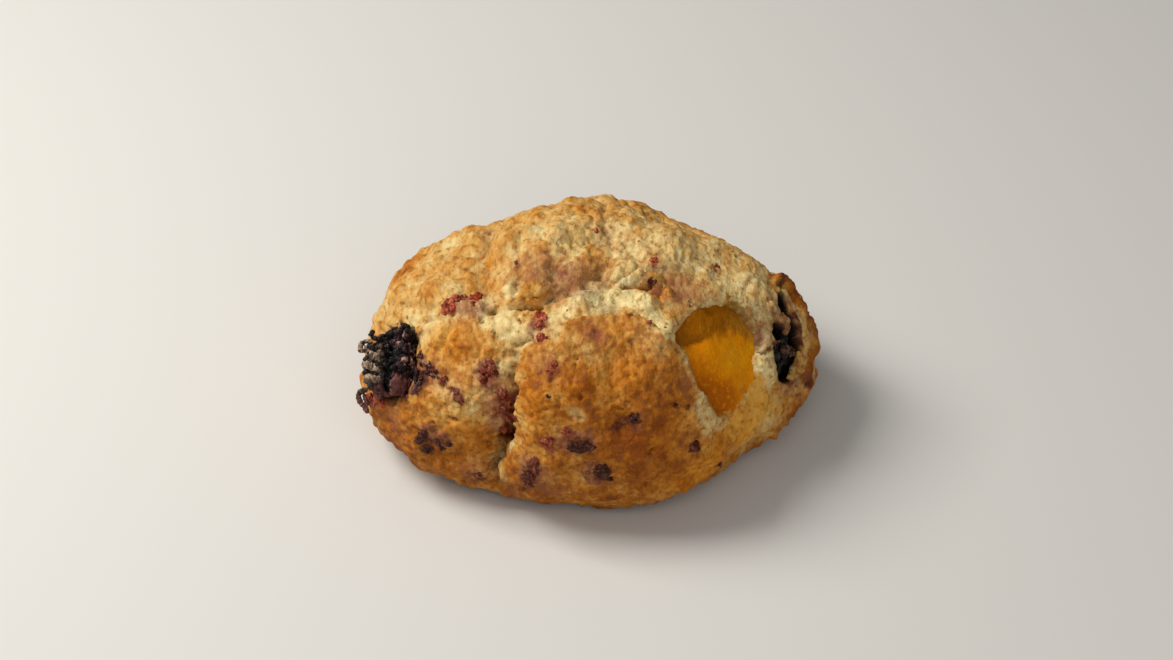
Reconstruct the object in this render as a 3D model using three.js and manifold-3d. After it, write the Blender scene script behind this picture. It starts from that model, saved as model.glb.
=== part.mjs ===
// A fruit scone: one hand-dropped mound of dough that tore open along its cracks as it rose,
// with two brambles, a chunk of peach and scraps of berry baked into its crust.
// Millimetres, +Z up, X along the length. The origin is at the bottom centre of the bounding box.
import * as THREE from "three";
import { mergeVertices } from "three/addons/utils/BufferGeometryUtils.js";
import { ImprovedNoise } from "three/addons/math/ImprovedNoise.js";
import Module from "manifold-3d";

const wasm = await Module();
wasm.setup();

// ---- Driving dimensions ----------------------------------------------------------------

const HALF_LENGTH = 54;          // from the middle to the end, along X
const HALF_DEPTH = 47.4;         // from the middle to the front or back, along Y
const BELLY_HEIGHT = 13;         // height of the widest level above the table
const DOME_RISE = 37.6;          // from the belly up to the crest
const UNDERSIDE = 22;            // from the belly down to where the round underside would close
const DOME_FULLNESS = 2.05;      // exponent of the upright section: 2 is an ellipse, more is boxier
const MIDDLE = [-0.2, 0.3];        // X and Y of the belly's middle, which centres the bounding box
const FRUIT_GAP = 0.3;           // clearance between a piece of fruit and its socket in the dough

// Facets: the mound starts as a subdivided icosahedron, drawn towards the torn side.
const DOUGH_DETAIL = 17;
const FINE_SIDE = new THREE.Vector3(0, -0.5, 0.87);
const FINE_PULL = 0.25;
const SMOOTHING_PASSES = 2;      // against the saw teeth that facets leave along steep edges
const SMOOTHING_SHARE = 0.3;     // how far each point then moves to the middle of its neighbours

// Places on the mound are [bearing, rise] in degrees, seen from the middle of the belly:
// bearing turns from +X towards +Y, and rise climbs from the belly's level to the crest at 90.

// Swellings and dents of the outline seen from above: where, how far they reach to each side in
// degrees, and how much they add to the radius, as a share of it.
const BELLY_SWELLINGS = [
  { bearing: -148, reach: 24, share: 0.055 },
  { bearing: -113, reach: 9, share: -0.06 },
  { bearing: -75, reach: 25, share: 0.02 },
  { bearing: -38, reach: 20, share: -0.073 },
  { bearing: 8, reach: 22, share: 0.033 },
  { bearing: 45, reach: 22, share: -0.06 },
  { bearing: 85, reach: 28, share: 0.033 },
  { bearing: 130, reach: 22, share: -0.058 },
];

// Broad lobes and hollows of the dome: where, how far they reach in degrees, and how high.
const DOME_LOBES = [
  { at: [95, 72], reach: 28, height: 2.5 },
  { at: [128, 50], reach: 22, height: -4.6 },
  { at: [52, 50], reach: 24, height: -4.8 },
  { at: [150, 25], reach: 18, height: 2.2 },
  { at: [-140, 36], reach: 15, height: 1.4 },
  { at: [-170, 42], reach: 13, height: 1.2 },
  { at: [178, 74], reach: 11, height: 1 },
  { at: [8, 60], reach: 16, height: 0.3 },
  { at: [-38, 10], reach: 12, height: 1 },
];

// Cracks: where each runs, how wide it gapes at the crust, and how deep it is.
const CRACKS = [
  // left of the front lobe, down to the notch in the lower edge
  { path: [[-116, 46], [-114, 35], [-111, 21], [-112, 14], [-115, 7], [-117, -14]],
    width: 7, depth: 4.2 },
  // the shadowed crevice under the upper lobe
  { path: [[-131, 58], [-114, 61], [-99, 66], [-83, 69], [-66, 69], [-57, 65]], width: 5, depth: 3.6 },
  // over the crest
  { path: [[78, 70], [39, 86], [-56, 81], [-77, 74], [-78, 69]], width: 5, depth: 1.4 },
  // the soft furrow beside the upper left lobe
  { path: [[130, 40], [176, 62], [-161, 61], [-145, 57], [-137, 56]], width: 9, depth: 1.6 },
  // the slit in the right end, where a bramble burst
  { path: [[-3, 38], [-11, 34], [-15, 29], [-15, 21], [-18, 15], [-23, 12]], width: 9, depth: 3.4 },
  // two on the far side
  { path: [[78, 70], [86, 50], [79, 32], [85, 14]], width: 5, depth: 2.4 },
  { path: [[176, 62], [160, 42], [166, 26]], width: 5, depth: 1.8 },
];

// The front lobe, which rose over its neighbours: its outline and how far it stands above them.
const FRONT_LOBE = [
  [-114, 46], [-109, 56], [-97, 60], [-85, 62], [-65, 61], [-57, 54], [-56, 45], [-56, 36],
  [-55, 27], [-54, 20], [-50, 5], [-56, -35], [-119, -35], [-111, 8], [-109, 28],
];
const FRONT_LOBE_HEIGHT = 3.5;
const FRONT_LOBE_EDGE = 3;       // width of the step along its edge
const FRONT_LOBE_FADE = [-12, 22];   // the step grows from nothing at the first rise to full height

// The opening torn over the peach, right of the front lobe.
const PEACH_WINDOW = [
  [-57, 49], [-46, 51], [-31, 50], [-26, 47], [-25, 35], [-33, 27], [-41, 22], [-46, 20],
  [-54, 20], [-55, 30], [-56, 36], [-56, 45],
];
const PEACH_WINDOW_DEPTH = 4.5;
const PEACH_WINDOW_EDGE = 2;

// Crags: knobs of the crust and finer crumbs, with the size of one and its height.
const CRAGS = [
  { size: 13, height: 2.4 },
  { size: 6, height: 2.2 },
];
// The torn crumb beside these cracks is rougher than the crust.
const TORN_CRACKS = [1, 2];
const TORN_CRUMB = { size: 4.2, height: 2, reach: 9 };

// ---- The mound -------------------------------------------------------------------------

const degrees = THREE.MathUtils.degToRad;
const bellyCentre = new THREE.Vector3(...MIDDLE, BELLY_HEIGHT);

/** Unit direction from the belly's middle towards a place on the mound. */
function toward(bearing, rise) {
  const level = Math.cos(degrees(rise));
  return new THREE.Vector3(
    level * Math.cos(degrees(bearing)),
    level * Math.sin(degrees(bearing)),
    Math.sin(degrees(rise)),
  );
}

/** How far apart two bearings are, in degrees. */
function turn(a, b) {
  return Math.abs(THREE.MathUtils.euclideanModulo(a - b + 180, 360) - 180);
}

/** Point of the plain mound, without cracks and crags, in a direction from its belly. */
function moundPoint(direction) {
  const level = Math.hypot(direction.x, direction.y);
  const upright = Math.abs(direction.z);
  const fullness = (level ** DOME_FULLNESS + upright ** DOME_FULLNESS) ** (-1 / DOME_FULLNESS);
  const bearing = THREE.MathUtils.radToDeg(Math.atan2(direction.y, direction.x));
  let width = fullness;
  for (const swelling of BELLY_SWELLINGS) {
    const away = turn(bearing, swelling.bearing) / swelling.reach;
    width *= 1 + swelling.share * Math.exp(-away * away) * level;
  }
  const point = new THREE.Vector3(
    direction.x * HALF_LENGTH * width,
    direction.y * HALF_DEPTH * width,
    direction.z * (direction.z > 0 ? DOME_RISE : UNDERSIDE) * fullness,
  );
  let height = 0;
  for (const lobe of DOME_LOBES) {
    const away = THREE.MathUtils.radToDeg(direction.angleTo(toward(...lobe.at))) / lobe.reach;
    height += lobe.height * Math.exp(-away * away);
  }
  return point.setLength(point.length() + height).add(bellyCentre);
}

/** The plain mound's point at a place. */
function placeOnMound([bearing, rise]) {
  return moundPoint(toward(bearing, rise));
}

/** Outward direction, square to the plain mound, at a direction from its belly. */
function outward(direction) {
  const step = 0.02;
  const across = new THREE.Vector3(-direction.y, direction.x, 0).setLength(step);
  const upward = direction.clone().cross(across).setLength(step);
  const point = moundPoint(direction);
  const right = moundPoint(direction.clone().add(across).normalize()).sub(point);
  const above = moundPoint(direction.clone().add(upward).normalize()).sub(point);
  return right.cross(above).normalize();
}

// ---- Cracks, tears and crags -----------------------------------------------------------

/** Distance from a point to a path of points. */
function distanceToPath(point, path) {
  const nearest = new THREE.Vector3();
  let distance = Infinity;
  for (let i = 1; i < path.length; i += 1) {
    new THREE.Line3(path[i - 1], path[i]).closestPointToPoint(point, true, nearest);
    distance = Math.min(distance, nearest.distanceTo(point));
  }
  return distance;
}

/** An area of the crust within an outline; depthInside() is negative outside of it. */
class CrustArea {
  constructor(places) {
    const corners = places.map(placeOnMound);
    this.middle = corners.reduce((sum, corner) => sum.add(corner), new THREE.Vector3());
    this.middle.divideScalar(corners.length);
    this.facing = this.middle.clone().sub(bellyCentre).normalize();
    this.across = new THREE.Vector3(0, 0, 1).cross(this.facing).normalize();
    this.along = this.facing.clone().cross(this.across);
    this.corners = corners.map((corner) => this.flatten(corner));
    this.border = [...this.corners, this.corners[0]];
  }

  flatten(point) {
    const arm = point.clone().sub(this.middle);
    return new THREE.Vector3(arm.dot(this.across), arm.dot(this.along), 0);
  }

  depthInside(point) {
    if (point.clone().sub(bellyCentre).dot(this.facing) < 0) {
      return -Infinity;
    }
    const spot = this.flatten(point);
    let inside = false;
    for (let i = 1; i < this.border.length; i += 1) {
      const a = this.border[i - 1];
      const b = this.border[i];
      const crosses = a.y > spot.y !== b.y > spot.y;
      if (crosses && spot.x < a.x + ((b.x - a.x) * (spot.y - a.y)) / (b.y - a.y)) {
        inside = !inside;
      }
    }
    const distance = distanceToPath(spot, this.border);
    return inside ? distance : -distance;
  }
}

const frontLobe = new CrustArea(FRONT_LOBE);
const peachWindow = new CrustArea(PEACH_WINDOW);
const crackPaths = CRACKS.map((crack) => crack.path.map(placeOnMound));
const noise = new ImprovedNoise();

function crag(point, { size, height }) {
  const spot = point.clone().divideScalar(size);
  return height * noise.noise(spot.x, spot.y, spot.z);
}

const { smoothstep } = THREE.MathUtils;

/** Climbs from 0 to 1 across an edge of a given width. */
function step(depthInside, width) {
  return smoothstep(depthInside, -width / 2, width / 2);
}

/** How far the crust stands above the plain mound at a point of it. */
function relief(point, rise) {
  const onLobe = step(frontLobe.depthInside(point), FRONT_LOBE_EDGE);
  const opening = step(peachWindow.depthInside(point), PEACH_WINDOW_EDGE);
  let height = FRONT_LOBE_HEIGHT * onLobe * smoothstep(rise, ...FRONT_LOBE_FADE);
  height -= PEACH_WINDOW_DEPTH * opening;
  let torn = 0;
  CRACKS.forEach((crack, i) => {
    const distance = distanceToPath(point, crackPaths[i]);
    height -= crack.depth * (1 - smoothstep(distance, 0, crack.width / 2));
    if (TORN_CRACKS.includes(i)) {
      torn = Math.max(torn, 1 - smoothstep(distance, 0, TORN_CRUMB.reach));
    }
  });
  for (const crust of CRAGS) {
    height += crag(point, crust) * (1 - opening);
  }
  return height + torn * crag(point, TORN_CRUMB);
}

/** Point of the crust, with its cracks and crags, in a direction from the belly's middle. */
function crustPoint(direction) {
  const point = moundPoint(direction);
  const rise = THREE.MathUtils.radToDeg(Math.asin(direction.z));
  return point.addScaledVector(outward(direction), relief(point, rise));
}

// ---- Solids ----------------------------------------------------------------------------

/** The geometry's positions alone, with the points that meet merged. */
function welded(geometry) {
  geometry.deleteAttribute("normal");
  geometry.deleteAttribute("uv");
  return mergeVertices(geometry);
}

function solid(geometry) {
  const shape = welded(geometry);
  return new wasm.Manifold(new wasm.Mesh({
    numProp: 3,
    vertProperties: new Float32Array(shape.attributes.position.array),
    triVerts: new Uint32Array(shape.index.array),
  }));
}

function geometryOf(manifold) {
  const mesh = manifold.getMesh();
  const geometry = new THREE.BufferGeometry();
  geometry.setAttribute("position", new THREE.BufferAttribute(mesh.vertProperties, 3));
  geometry.setIndex(new THREE.BufferAttribute(mesh.triVerts, 1));
  geometry.computeVertexNormals();
  return geometry;
}

/** A ball, an egg or a lens: a sphere stretched to three half sizes. */
function ovoid(halfSizes, detail) {
  return new THREE.IcosahedronGeometry(1, detail).scale(...halfSizes);
}

/** Draws each point of a closed mesh towards the middle of its neighbours. */
function smooth(geometry) {
  const { position } = geometry.attributes;
  const corners = geometry.index.array;
  const sums = Array.from({ length: position.count }, () => new THREE.Vector4(0, 0, 0, 0));
  const neighbour = new THREE.Vector3();
  corners.forEach((corner, i) => {
    const next = i % 3 === 2 ? i - 2 : i + 1;
    neighbour.fromBufferAttribute(position, corners[next]);
    sums[corner].add(new THREE.Vector4(...neighbour.toArray(), 1));
  });
  sums.forEach((sum, i) => {
    const point = new THREE.Vector3().fromBufferAttribute(position, i);
    point.lerp(new THREE.Vector3(sum.x, sum.y, sum.z).divideScalar(sum.w), SMOOTHING_SHARE);
    position.setXYZ(i, ...point.toArray());
  });
}

function moundGeometry() {
  const geometry = welded(new THREE.IcosahedronGeometry(1, DOUGH_DETAIL));
  const position = geometry.attributes.position;
  const direction = new THREE.Vector3();
  for (let i = 0; i < position.count; i += 1) {
    direction.fromBufferAttribute(position, i).addScaledVector(FINE_SIDE, FINE_PULL).normalize();
    position.setXYZ(i, ...crustPoint(direction).toArray());
  }
  for (let pass = 0; pass < SMOOTHING_PASSES; pass += 1) {
    smooth(geometry);
  }
  return geometry;
}

/** Seats a piece of fruit below a point: its own Y climbs the mound and its Z points out. */
function bedding(place, surface, sink) {
  const out = outward(toward(...place));
  const across = new THREE.Vector3(0, 0, 1).cross(out).normalize();
  const upward = out.clone().cross(across);
  return new THREE.Matrix4()
    .makeBasis(across, upward, out)
    .setPosition(surface.clone().addScaledVector(out, -sink));
}

// ---- Fruit -----------------------------------------------------------------------------

const GOLDEN_ANGLE = Math.PI * (3 - Math.sqrt(5));

// The bramble in the left end: a whole one, half out of the dough, split down its middle.
const LEFT_BRAMBLE = {
  place: [-154, 24], sink: 2.6, halfSizes: [7.8, 9.4, 6.6],
  drupelet: 2.4, count: 30, core: 0.85, cleft: 1.4, shown: 0,
};

// The bramble in the right end: burst and shrunk to a crooked strip in its slit.
const RIGHT_BRAMBLE = {
  path: [[-5, 37], [-11, 34], [-15, 29], [-15, 21], [-18, 15], [-22, 12.5]],
  sink: 4.4, drupelet: 2.2, count: 9, stagger: 1.6, proud: 1.2, core: 2.8, coreEvery: 2,
};

// The chunk of peach under the torn opening.
const PEACH = { place: [-42, 35], sink: 10.3, halfSizes: [14, 19.5, 9], detail: 4 };

// Scraps of berry: a few drupelets each, given as [across, up, radius] round the place.
const SCRAPS = [
  { name: "berry_scrap_upper_left", place: [-145, 53.5], color: "#a5574a",
    drupelets: [[-2.6, -0.9, 1.6], [-0.4, 0, 1.3], [2.2, 0.8, 1.7]] },
  { name: "berry_scrap_tear", place: [-112, 54], color: "#96332c",
    drupelets: [[0, 1, 1.3], [-0.3, -0.8, 1.2]] },
  { name: "berry_scrap_left", place: [-122, 36], color: "#6e2c2a",
    drupelets: [[-0.6, 0.8, 1.6], [0.6, -0.9, 1.5]] },
  { name: "berry_scrap_crack", place: [-115, 24.5], color: "#5c2a2e",
    drupelets: [[0.2, 3.2, 1.8], [-0.6, 0.3, 2], [0.1, -2.6, 1.8]] },
  { name: "berry_scrap_lower_left", place: [-130.5, 10], color: "#3a2624",
    drupelets: [[-1.8, 0.4, 1.6], [0.2, -0.5, 1.5], [2.2, -0.2, 1.3]] },
  { name: "berry_scrap_front", place: [-93, 20], color: "#4a2a38",
    drupelets: [[-2, 0.4, 1.5], [0, -0.3, 1.8], [2, 0.2, 1.4]] },
  { name: "berry_scrap_low", place: [-104, 7], color: "#54303c",
    drupelets: [[0.6, 2, 1.3], [0, 0, 1.5], [-0.5, -1.9, 1.2]] },
  { name: "berry_scrap_low_right", place: [-88.5, 8.5], color: "#54303c",
    drupelets: [[-1, 0.3, 1.4], [0.8, -0.2, 1.5]] },
];
const SCRAP_SINK = 0.6;
const FACET_SHARE = 0.79;        // a ball of 20 facets holds a round one of this share of its radius

/** Unit directions spread evenly over a sphere, from one end of its Y axis to the other. */
function spread(count) {
  return Array.from({ length: count }, (_, i) => {
    const y = 1 - (2 * i + 1) / count;
    const ring = Math.sqrt(1 - y * y);
    return new THREE.Vector3(ring * Math.cos(i * GOLDEN_ANGLE), y, ring * Math.sin(i * GOLDEN_ANGLE));
  });
}

function leftBramble() {
  const { halfSizes, drupelet, count, core, cleft, shown } = LEFT_BRAMBLE;
  const ring = halfSizes.map((half) => half - drupelet);
  let berry = solid(ovoid(halfSizes.map((half) => half * core), 2));
  for (const direction of spread(count).filter(({ z }) => z > shown)) {
    const [x, y, z] = direction.toArray().map((part, axis) => part * ring[axis]);
    const side = x < 0 ? -1 : 1;
    const ball = new THREE.IcosahedronGeometry(drupelet, 1);
    berry = berry.add(solid(ball.translate(Math.max(Math.abs(x), cleft) * side, y, z)));
  }
  return berry;
}

/** The strip of the right bramble as [pulp, drupelets], each a list of balls: [middle, radius]. */
function rightBrambleBalls() {
  const { path, sink, drupelet, count, stagger, proud, core, coreEvery } = RIGHT_BRAMBLE;
  const spine = new THREE.CatmullRomCurve3(path.map((place) => {
    return placeOnMound(place).addScaledVector(outward(toward(...place)), -sink);
  }));
  const pulp = [];
  const drupelets = [];
  for (let i = 0; i < count; i += 1) {
    const point = spine.getPoint(i / (count - 1));
    const out = point.clone().sub(bellyCentre).normalize();
    const side = spine.getTangent(i / (count - 1)).cross(out).normalize();
    if (i % coreEvery === 0) {
      pulp.push([point.clone(), core]);
    }
    point.addScaledVector(side, i % 2 ? stagger : -stagger).addScaledVector(out, proud);
    drupelets.push([point, drupelet]);
  }
  return [pulp, drupelets];
}

/** Balls joined into one solid. */
function joined(balls, detail) {
  const solids = balls.map(([middle, radius]) => {
    return solid(new THREE.IcosahedronGeometry(radius, detail).translate(...middle.toArray()));
  });
  return solids.reduce((sum, ball) => sum.add(ball));
}

/** The room that balls need in the dough, of plain 20-sided balls that clear them by the gap. */
function roomy(balls) {
  const room = balls.map(([middle, radius]) => [middle, (radius + FRUIT_GAP) / FACET_SHARE]);
  return joined(room, 0);
}

function peach(growth) {
  const { halfSizes, detail } = PEACH;
  return solid(ovoid(halfSizes.map((half) => half + growth), detail));
}

// ---- The scone -------------------------------------------------------------------------

const below = new THREE.BoxGeometry(4 * HALF_LENGTH, 4 * HALF_DEPTH, 4 * UNDERSIDE);
below.translate(0, 0, -2 * UNDERSIDE);
let dough = solid(moundGeometry()).subtract(solid(below));
const scone = new THREE.Group();

function addPiece(name, manifold, color, roughness) {
  const material = new THREE.MeshStandardMaterial({ color, roughness, metalness: 0 });
  const mesh = new THREE.Mesh(geometryOf(manifold), material);
  mesh.name = name;
  scone.add(mesh);
}

/** Beds a piece of fruit in the dough: cuts its socket and adds it. */
function bed(name, fruit, socket, color, roughness) {
  dough = dough.subtract(socket);
  addPiece(name, fruit, color, roughness);
}

const leftBed = bedding(LEFT_BRAMBLE.place, placeOnMound(LEFT_BRAMBLE.place), LEFT_BRAMBLE.sink);
const leftRoom = LEFT_BRAMBLE.halfSizes.map((half) => half + FRUIT_GAP);
const leftSocket = solid(ovoid(leftRoom, 3).applyMatrix4(leftBed));
bed("bramble_left", leftBramble().transform(leftBed.toArray()), leftSocket, "#33232a", 0.45);

const [rightPulp, rightDrupelets] = rightBrambleBalls();
const slit = roomy([...rightPulp, ...rightDrupelets]);
const strip = joined(rightPulp, 0).add(joined(rightDrupelets, 1));
bed("bramble_right", strip, slit, "#17100f", 0.3);

const peachBed = bedding(PEACH.place, placeOnMound(PEACH.place), PEACH.sink).toArray();
bed("peach_chunk", peach(0).transform(peachBed), peach(FRUIT_GAP).transform(peachBed), "#cf7f0c", 0.35);

for (const { name, place, color, drupelets } of SCRAPS) {
  const scrapBed = bedding(place, crustPoint(toward(...place)), SCRAP_SINK);
  const balls = drupelets.map(([across, up, radius]) => {
    return [new THREE.Vector3(across, up, 0).applyMatrix4(scrapBed), radius];
  });
  bed(name, joined(balls, 1), roomy(balls), color, 0.5);
}
addPiece("dough", dough, "#bd8548", 0.8);

export default scone;
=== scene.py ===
import math
import random

import bmesh
import bpy
import numpy as np
from mathutils import Matrix, Vector, noise
from mathutils.bvhtree import BVHTree


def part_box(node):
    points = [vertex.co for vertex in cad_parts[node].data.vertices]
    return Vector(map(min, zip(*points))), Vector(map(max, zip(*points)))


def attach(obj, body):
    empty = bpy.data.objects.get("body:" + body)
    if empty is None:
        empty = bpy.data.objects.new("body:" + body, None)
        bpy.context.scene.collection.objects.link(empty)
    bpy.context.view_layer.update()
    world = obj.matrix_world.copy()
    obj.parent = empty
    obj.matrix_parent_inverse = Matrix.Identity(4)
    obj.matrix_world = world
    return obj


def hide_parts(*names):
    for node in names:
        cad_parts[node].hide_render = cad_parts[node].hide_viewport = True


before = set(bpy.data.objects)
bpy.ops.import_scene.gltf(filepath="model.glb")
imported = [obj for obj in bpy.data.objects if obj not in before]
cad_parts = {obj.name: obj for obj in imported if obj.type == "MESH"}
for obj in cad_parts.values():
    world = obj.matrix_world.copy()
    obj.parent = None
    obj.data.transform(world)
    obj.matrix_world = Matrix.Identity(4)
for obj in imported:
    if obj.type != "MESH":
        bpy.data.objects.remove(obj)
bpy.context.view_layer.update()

# ---- Studio -----------------------------------------------------------------------------------
# A pale table top, a large softbox over the left shoulder of the scone, a weak one beside the
# camera, and a long lens that looks down on the torn side. Sizes are in millimetres, and a place
# on the crust is given as (across, down), in points of the camera's picture.

MM = 0.001
PICTURE_WIDTH = 1173
POINT = 0.23913                  # millimetres that one point of the picture covers at AIM
LENS = 100
SENSOR = 36
LOOKING_DOWN = math.radians(38)
AIM = Vector((0, 0, 16))
AIM_AT = (590, 352)              # where the picture shows AIM
MIDDLE_AT = (586.5, 330)         # the middle of the picture
TABLE = 3000
TABLE_PAINT = (0.62, 0.61, 0.59, 1)
TABLE_ROUGHNESS = 0.85
SKY = (1.0, 0.98, 0.95, 1)
SKY_STRENGTH = 0.2
SOFTBOXES = [
    {"name": "key", "towards": (-0.75, 0.16, 0.9), "away": 700, "size": 380, "watts": 5.4,
     "tint": (1.0, 0.965, 0.9)},
    {"name": "fill", "towards": (0.1, -1.0, 0.75), "away": 900, "size": 700, "watts": 2.6,
     "tint": (1.0, 0.98, 0.95)},
]

points_a_radian = PICTURE_WIDTH * LENS / SENSOR
rightward = Vector((1, 0, 0))
upward = Vector((0, math.sin(LOOKING_DOWN), math.cos(LOOKING_DOWN)))
backward = Vector((0, -math.cos(LOOKING_DOWN), math.sin(LOOKING_DOWN)))
eye = AIM + backward * POINT * points_a_radian

camera = bpy.data.objects.new("camera", bpy.data.cameras.new("camera"))
camera.data.lens = LENS
camera.data.sensor_width = SENSOR
camera.data.shift_x = (MIDDLE_AT[0] - AIM_AT[0]) / PICTURE_WIDTH
camera.data.shift_y = (AIM_AT[1] - MIDDLE_AT[1]) / PICTURE_WIDTH
camera.data.clip_start = 0.01
camera.location = eye * MM
camera.rotation_euler = (math.pi / 2 - LOOKING_DOWN, 0, 0)
bpy.context.collection.objects.link(camera)
bpy.context.scene.camera = camera
bpy.context.scene.view_settings.view_transform = "Standard"


def add(tree, kind, settings=None, **sockets):
    """A new shader node. A socket's name has _ for its spaces, and takes a value or an output."""
    made = tree.nodes.new("ShaderNode" + kind)
    for name, value in (settings or {}).items():
        setattr(made, name, value)
    for name, value in sockets.items():
        plug(tree, made.inputs[name.replace("_", " ")], value)
    return made


def plug(tree, socket, value):
    if isinstance(value, bpy.types.NodeSocket):
        tree.links.new(value, socket)
    else:
        socket.default_value = value


def new_material(name):
    """An empty node material and its Principled shader, wired to the output."""
    material = bpy.data.materials.new(name)
    material.use_nodes = True
    tree = material.node_tree
    tree.nodes.clear()
    shader = add(tree, "BsdfPrincipled")
    tree.links.new(shader.outputs[0], add(tree, "OutputMaterial").inputs["Surface"])
    return material, tree, shader


bm = bmesh.new()
bmesh.ops.create_grid(bm, x_segments=4, y_segments=4, size=TABLE * MM / 2)
table = bpy.data.objects.new("table", bpy.data.meshes.new("table"))
bm.to_mesh(table.data)
bm.free()
bpy.context.collection.objects.link(table)
table_material, tree, shader = new_material("table")
shader.inputs["Base Color"].default_value = TABLE_PAINT
shader.inputs["Roughness"].default_value = TABLE_ROUGHNESS
table.data.materials.append(table_material)

world = bpy.data.worlds.new("studio")
world.use_nodes = True
world.node_tree.nodes["Background"].inputs["Color"].default_value = SKY
world.node_tree.nodes["Background"].inputs["Strength"].default_value = SKY_STRENGTH
bpy.context.scene.world = world
for box in SOFTBOXES:
    lamp = bpy.data.lights.new(box["name"], "AREA")
    lamp.size = box["size"] * MM
    lamp.energy = box["watts"]
    lamp.color = box["tint"]
    softbox = bpy.data.objects.new(box["name"], lamp)
    towards = Vector(box["towards"]).normalized()
    softbox.location = (AIM + towards * box["away"]) * MM
    softbox.rotation_euler = towards.to_track_quat("Z", "Y").to_euler()
    bpy.context.collection.objects.link(softbox)

# ---- Peach ------------------------------------------------------------------------------------
# A chunk of ripe peach, cooked soft and glassy under the torn opening: a painted olive-gold shade
# where the arch of dough shades it, a crease, then clear orange. The dough was folded round it before
# baking.

PEACH_GROWTH = (0.5, 2.2)        # how far it swells outwards and sideways into the dough
PEACH_CREASE = [(676, 345), (682, 347), (690, 344), (701, 342)]
CREASE_WIDTH = 0.5
CREASE_DEPTH = 0.8
PEACH_PORE = (710, 312)
PORE_REACH = 1.2
PORE_DEPTH = 0.9
PEACH_MIDDLE = (715, 350)
PEACH_SHADE = [(660, 347), (682, 348), (690, 345), (701, 342), (712, 337), (728, 334), (742, 338),
               (756, 346), (775, 320), (740, 290), (700, 290), (660, 320)]
SHADE_EDGE = (0.5, 2.6)          # the shade ends at the crease on the left and fades on the right
SHADE_SIDES = (700, 728)
PEACH_TINTS = {                  # browned, reddened and yellowed flesh: place, reach and strength; the reddened flesh along the flap's edge is partly painted shade of the flap
    "brown": [((736, 316), 2.8, 0.9), ((744, 329), 2.6, 1.0), ((738, 332), 2.0, 0.6),
              ((702, 330), 1.6, 0.4), ((726, 328), 1.6, 0.4), ((750, 340), 1.6, 0.7)],
    "red": [((689, 358), 3.4, 0.9), ((697, 372), 4.2, 0.9), ((706, 388), 4.4, 0.9),
            ((715, 404), 4.0, 1.0), ((728, 396), 3.2, 0.5)],
    "yellow": [((746, 350), 1.8, 1.0), ((727, 350), 4.2, 0.6), ((730, 366), 3.4, 0.45),
               ((743, 362), 2.6, 0.6)],
}
FIBRES = (1, 1, 0.3)             # the flesh's grain runs upwards
TRACE_STEP = 3                   # points of the picture between two places on a path
LIGHT_LET_IN = 0.12              # the share of light that moist food lets in


def tree_of(*names):
    """A search tree over solids of the frame, in millimetres."""
    spots, corners = [], []
    for name in names:
        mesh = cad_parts[name].data
        first = len(spots)
        spots += [vertex.co / MM for vertex in mesh.vertices]
        corners += [[first + i for i in face.vertices] for face in mesh.polygons]
    return BVHTree.FromPolygons(spots, corners)


whole_tree = tree_of(*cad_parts)


def sight(across, down):
    """The way from the camera to a place of the picture, as long as the camera's depth of 1."""
    ray = rightward * ((across - AIM_AT[0]) / points_a_radian) - backward
    return ray + upward * ((AIM_AT[1] - down) / points_a_radian)


def met(across, down, tree):
    """The point of a surface that the picture shows at (across, down), and the normal there."""
    return tree.ray_cast(eye, sight(across, down).normalized())[:2]


def seen(across, down, tree=whole_tree):
    """The point, in millimetres, that the picture shows at (across, down)."""
    return met(across, down, tree)[0]


def in_picture(points):
    """Where the picture shows each point: across and down."""
    arm = points - np.array(eye)
    depth = arm @ -np.array(backward)
    across = AIM_AT[0] + points_a_radian * (arm @ np.array(rightward)) / depth
    down = AIM_AT[1] - points_a_radian * (arm @ np.array(upward)) / depth
    return across, down


def trace(spots):
    """Points of the crust along a path through places of the picture."""
    found = []
    for start, end in zip(spots, spots[1:]):
        steps = max(1, round(math.dist(start, end) / TRACE_STEP))
        for i in range(steps + 1):
            place = seen(*(between(ends, i / steps) for ends in zip(start, end)))
            if place:
                found.append(place)
    return np.array(found)


def distances(points, track, reach):
    """Distance of each point from a track, no more than reach."""
    found = np.full(len(points), float(reach))
    near = np.all((points > track.min(0) - reach) & (points < track.max(0) + reach), axis=1)
    spots = points[near]
    shortest = found[near]
    for start, end in zip(track, track[1:]):
        arm = end - start
        along = np.clip((spots - start) @ arm / max(arm @ arm, 1e-9), 0, 1)
        gap = spots - start - along[:, None] * arm
        shortest = np.minimum(shortest, np.linalg.norm(gap, axis=1))
    found[near] = shortest
    return found


def blob(points, place, reach):
    """1 at a place of the picture, falling off to 0 over about twice its reach."""
    middle = seen(*place)
    if middle is None:
        return np.zeros(len(points))
    gap = points - np.array(middle)
    return np.exp(-(gap * gap).sum(1) / (reach * reach))


def blobs(points, places):
    """Several blobs added up, each of its own strength."""
    total = np.zeros(len(points))
    for place, reach, strength in places:
        total += strength * blob(points, place, reach)
    return total


def depth_inside(points, facing, outline):
    """How far each point lies inside an outline of the picture, in millimetres; less than 0 is out."""
    across, down = in_picture(points)
    inside = np.zeros(len(points), bool)
    nearest = np.full(len(points), 1e9)
    for (ax, ay), (bx, by) in zip(outline, outline[1:] + outline[:1]):
        crosses = (ay > down) != (by > down)
        inside ^= crosses & (across < ax + (bx - ax) * (down - ay) / (by - ay or 1e-9))
        length = max((bx - ax) ** 2 + (by - ay) ** 2, 1e-9)
        along = np.clip(((across - ax) * (bx - ax) + (down - ay) * (by - ay)) / length, 0, 1)
        gap = np.hypot(across - ax - along * (bx - ax), down - ay - along * (by - ay))
        nearest = np.minimum(nearest, gap)
    depth = np.where(inside, nearest, -nearest) * POINT
    return np.where(facing > 0, depth, -1e3)


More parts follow.
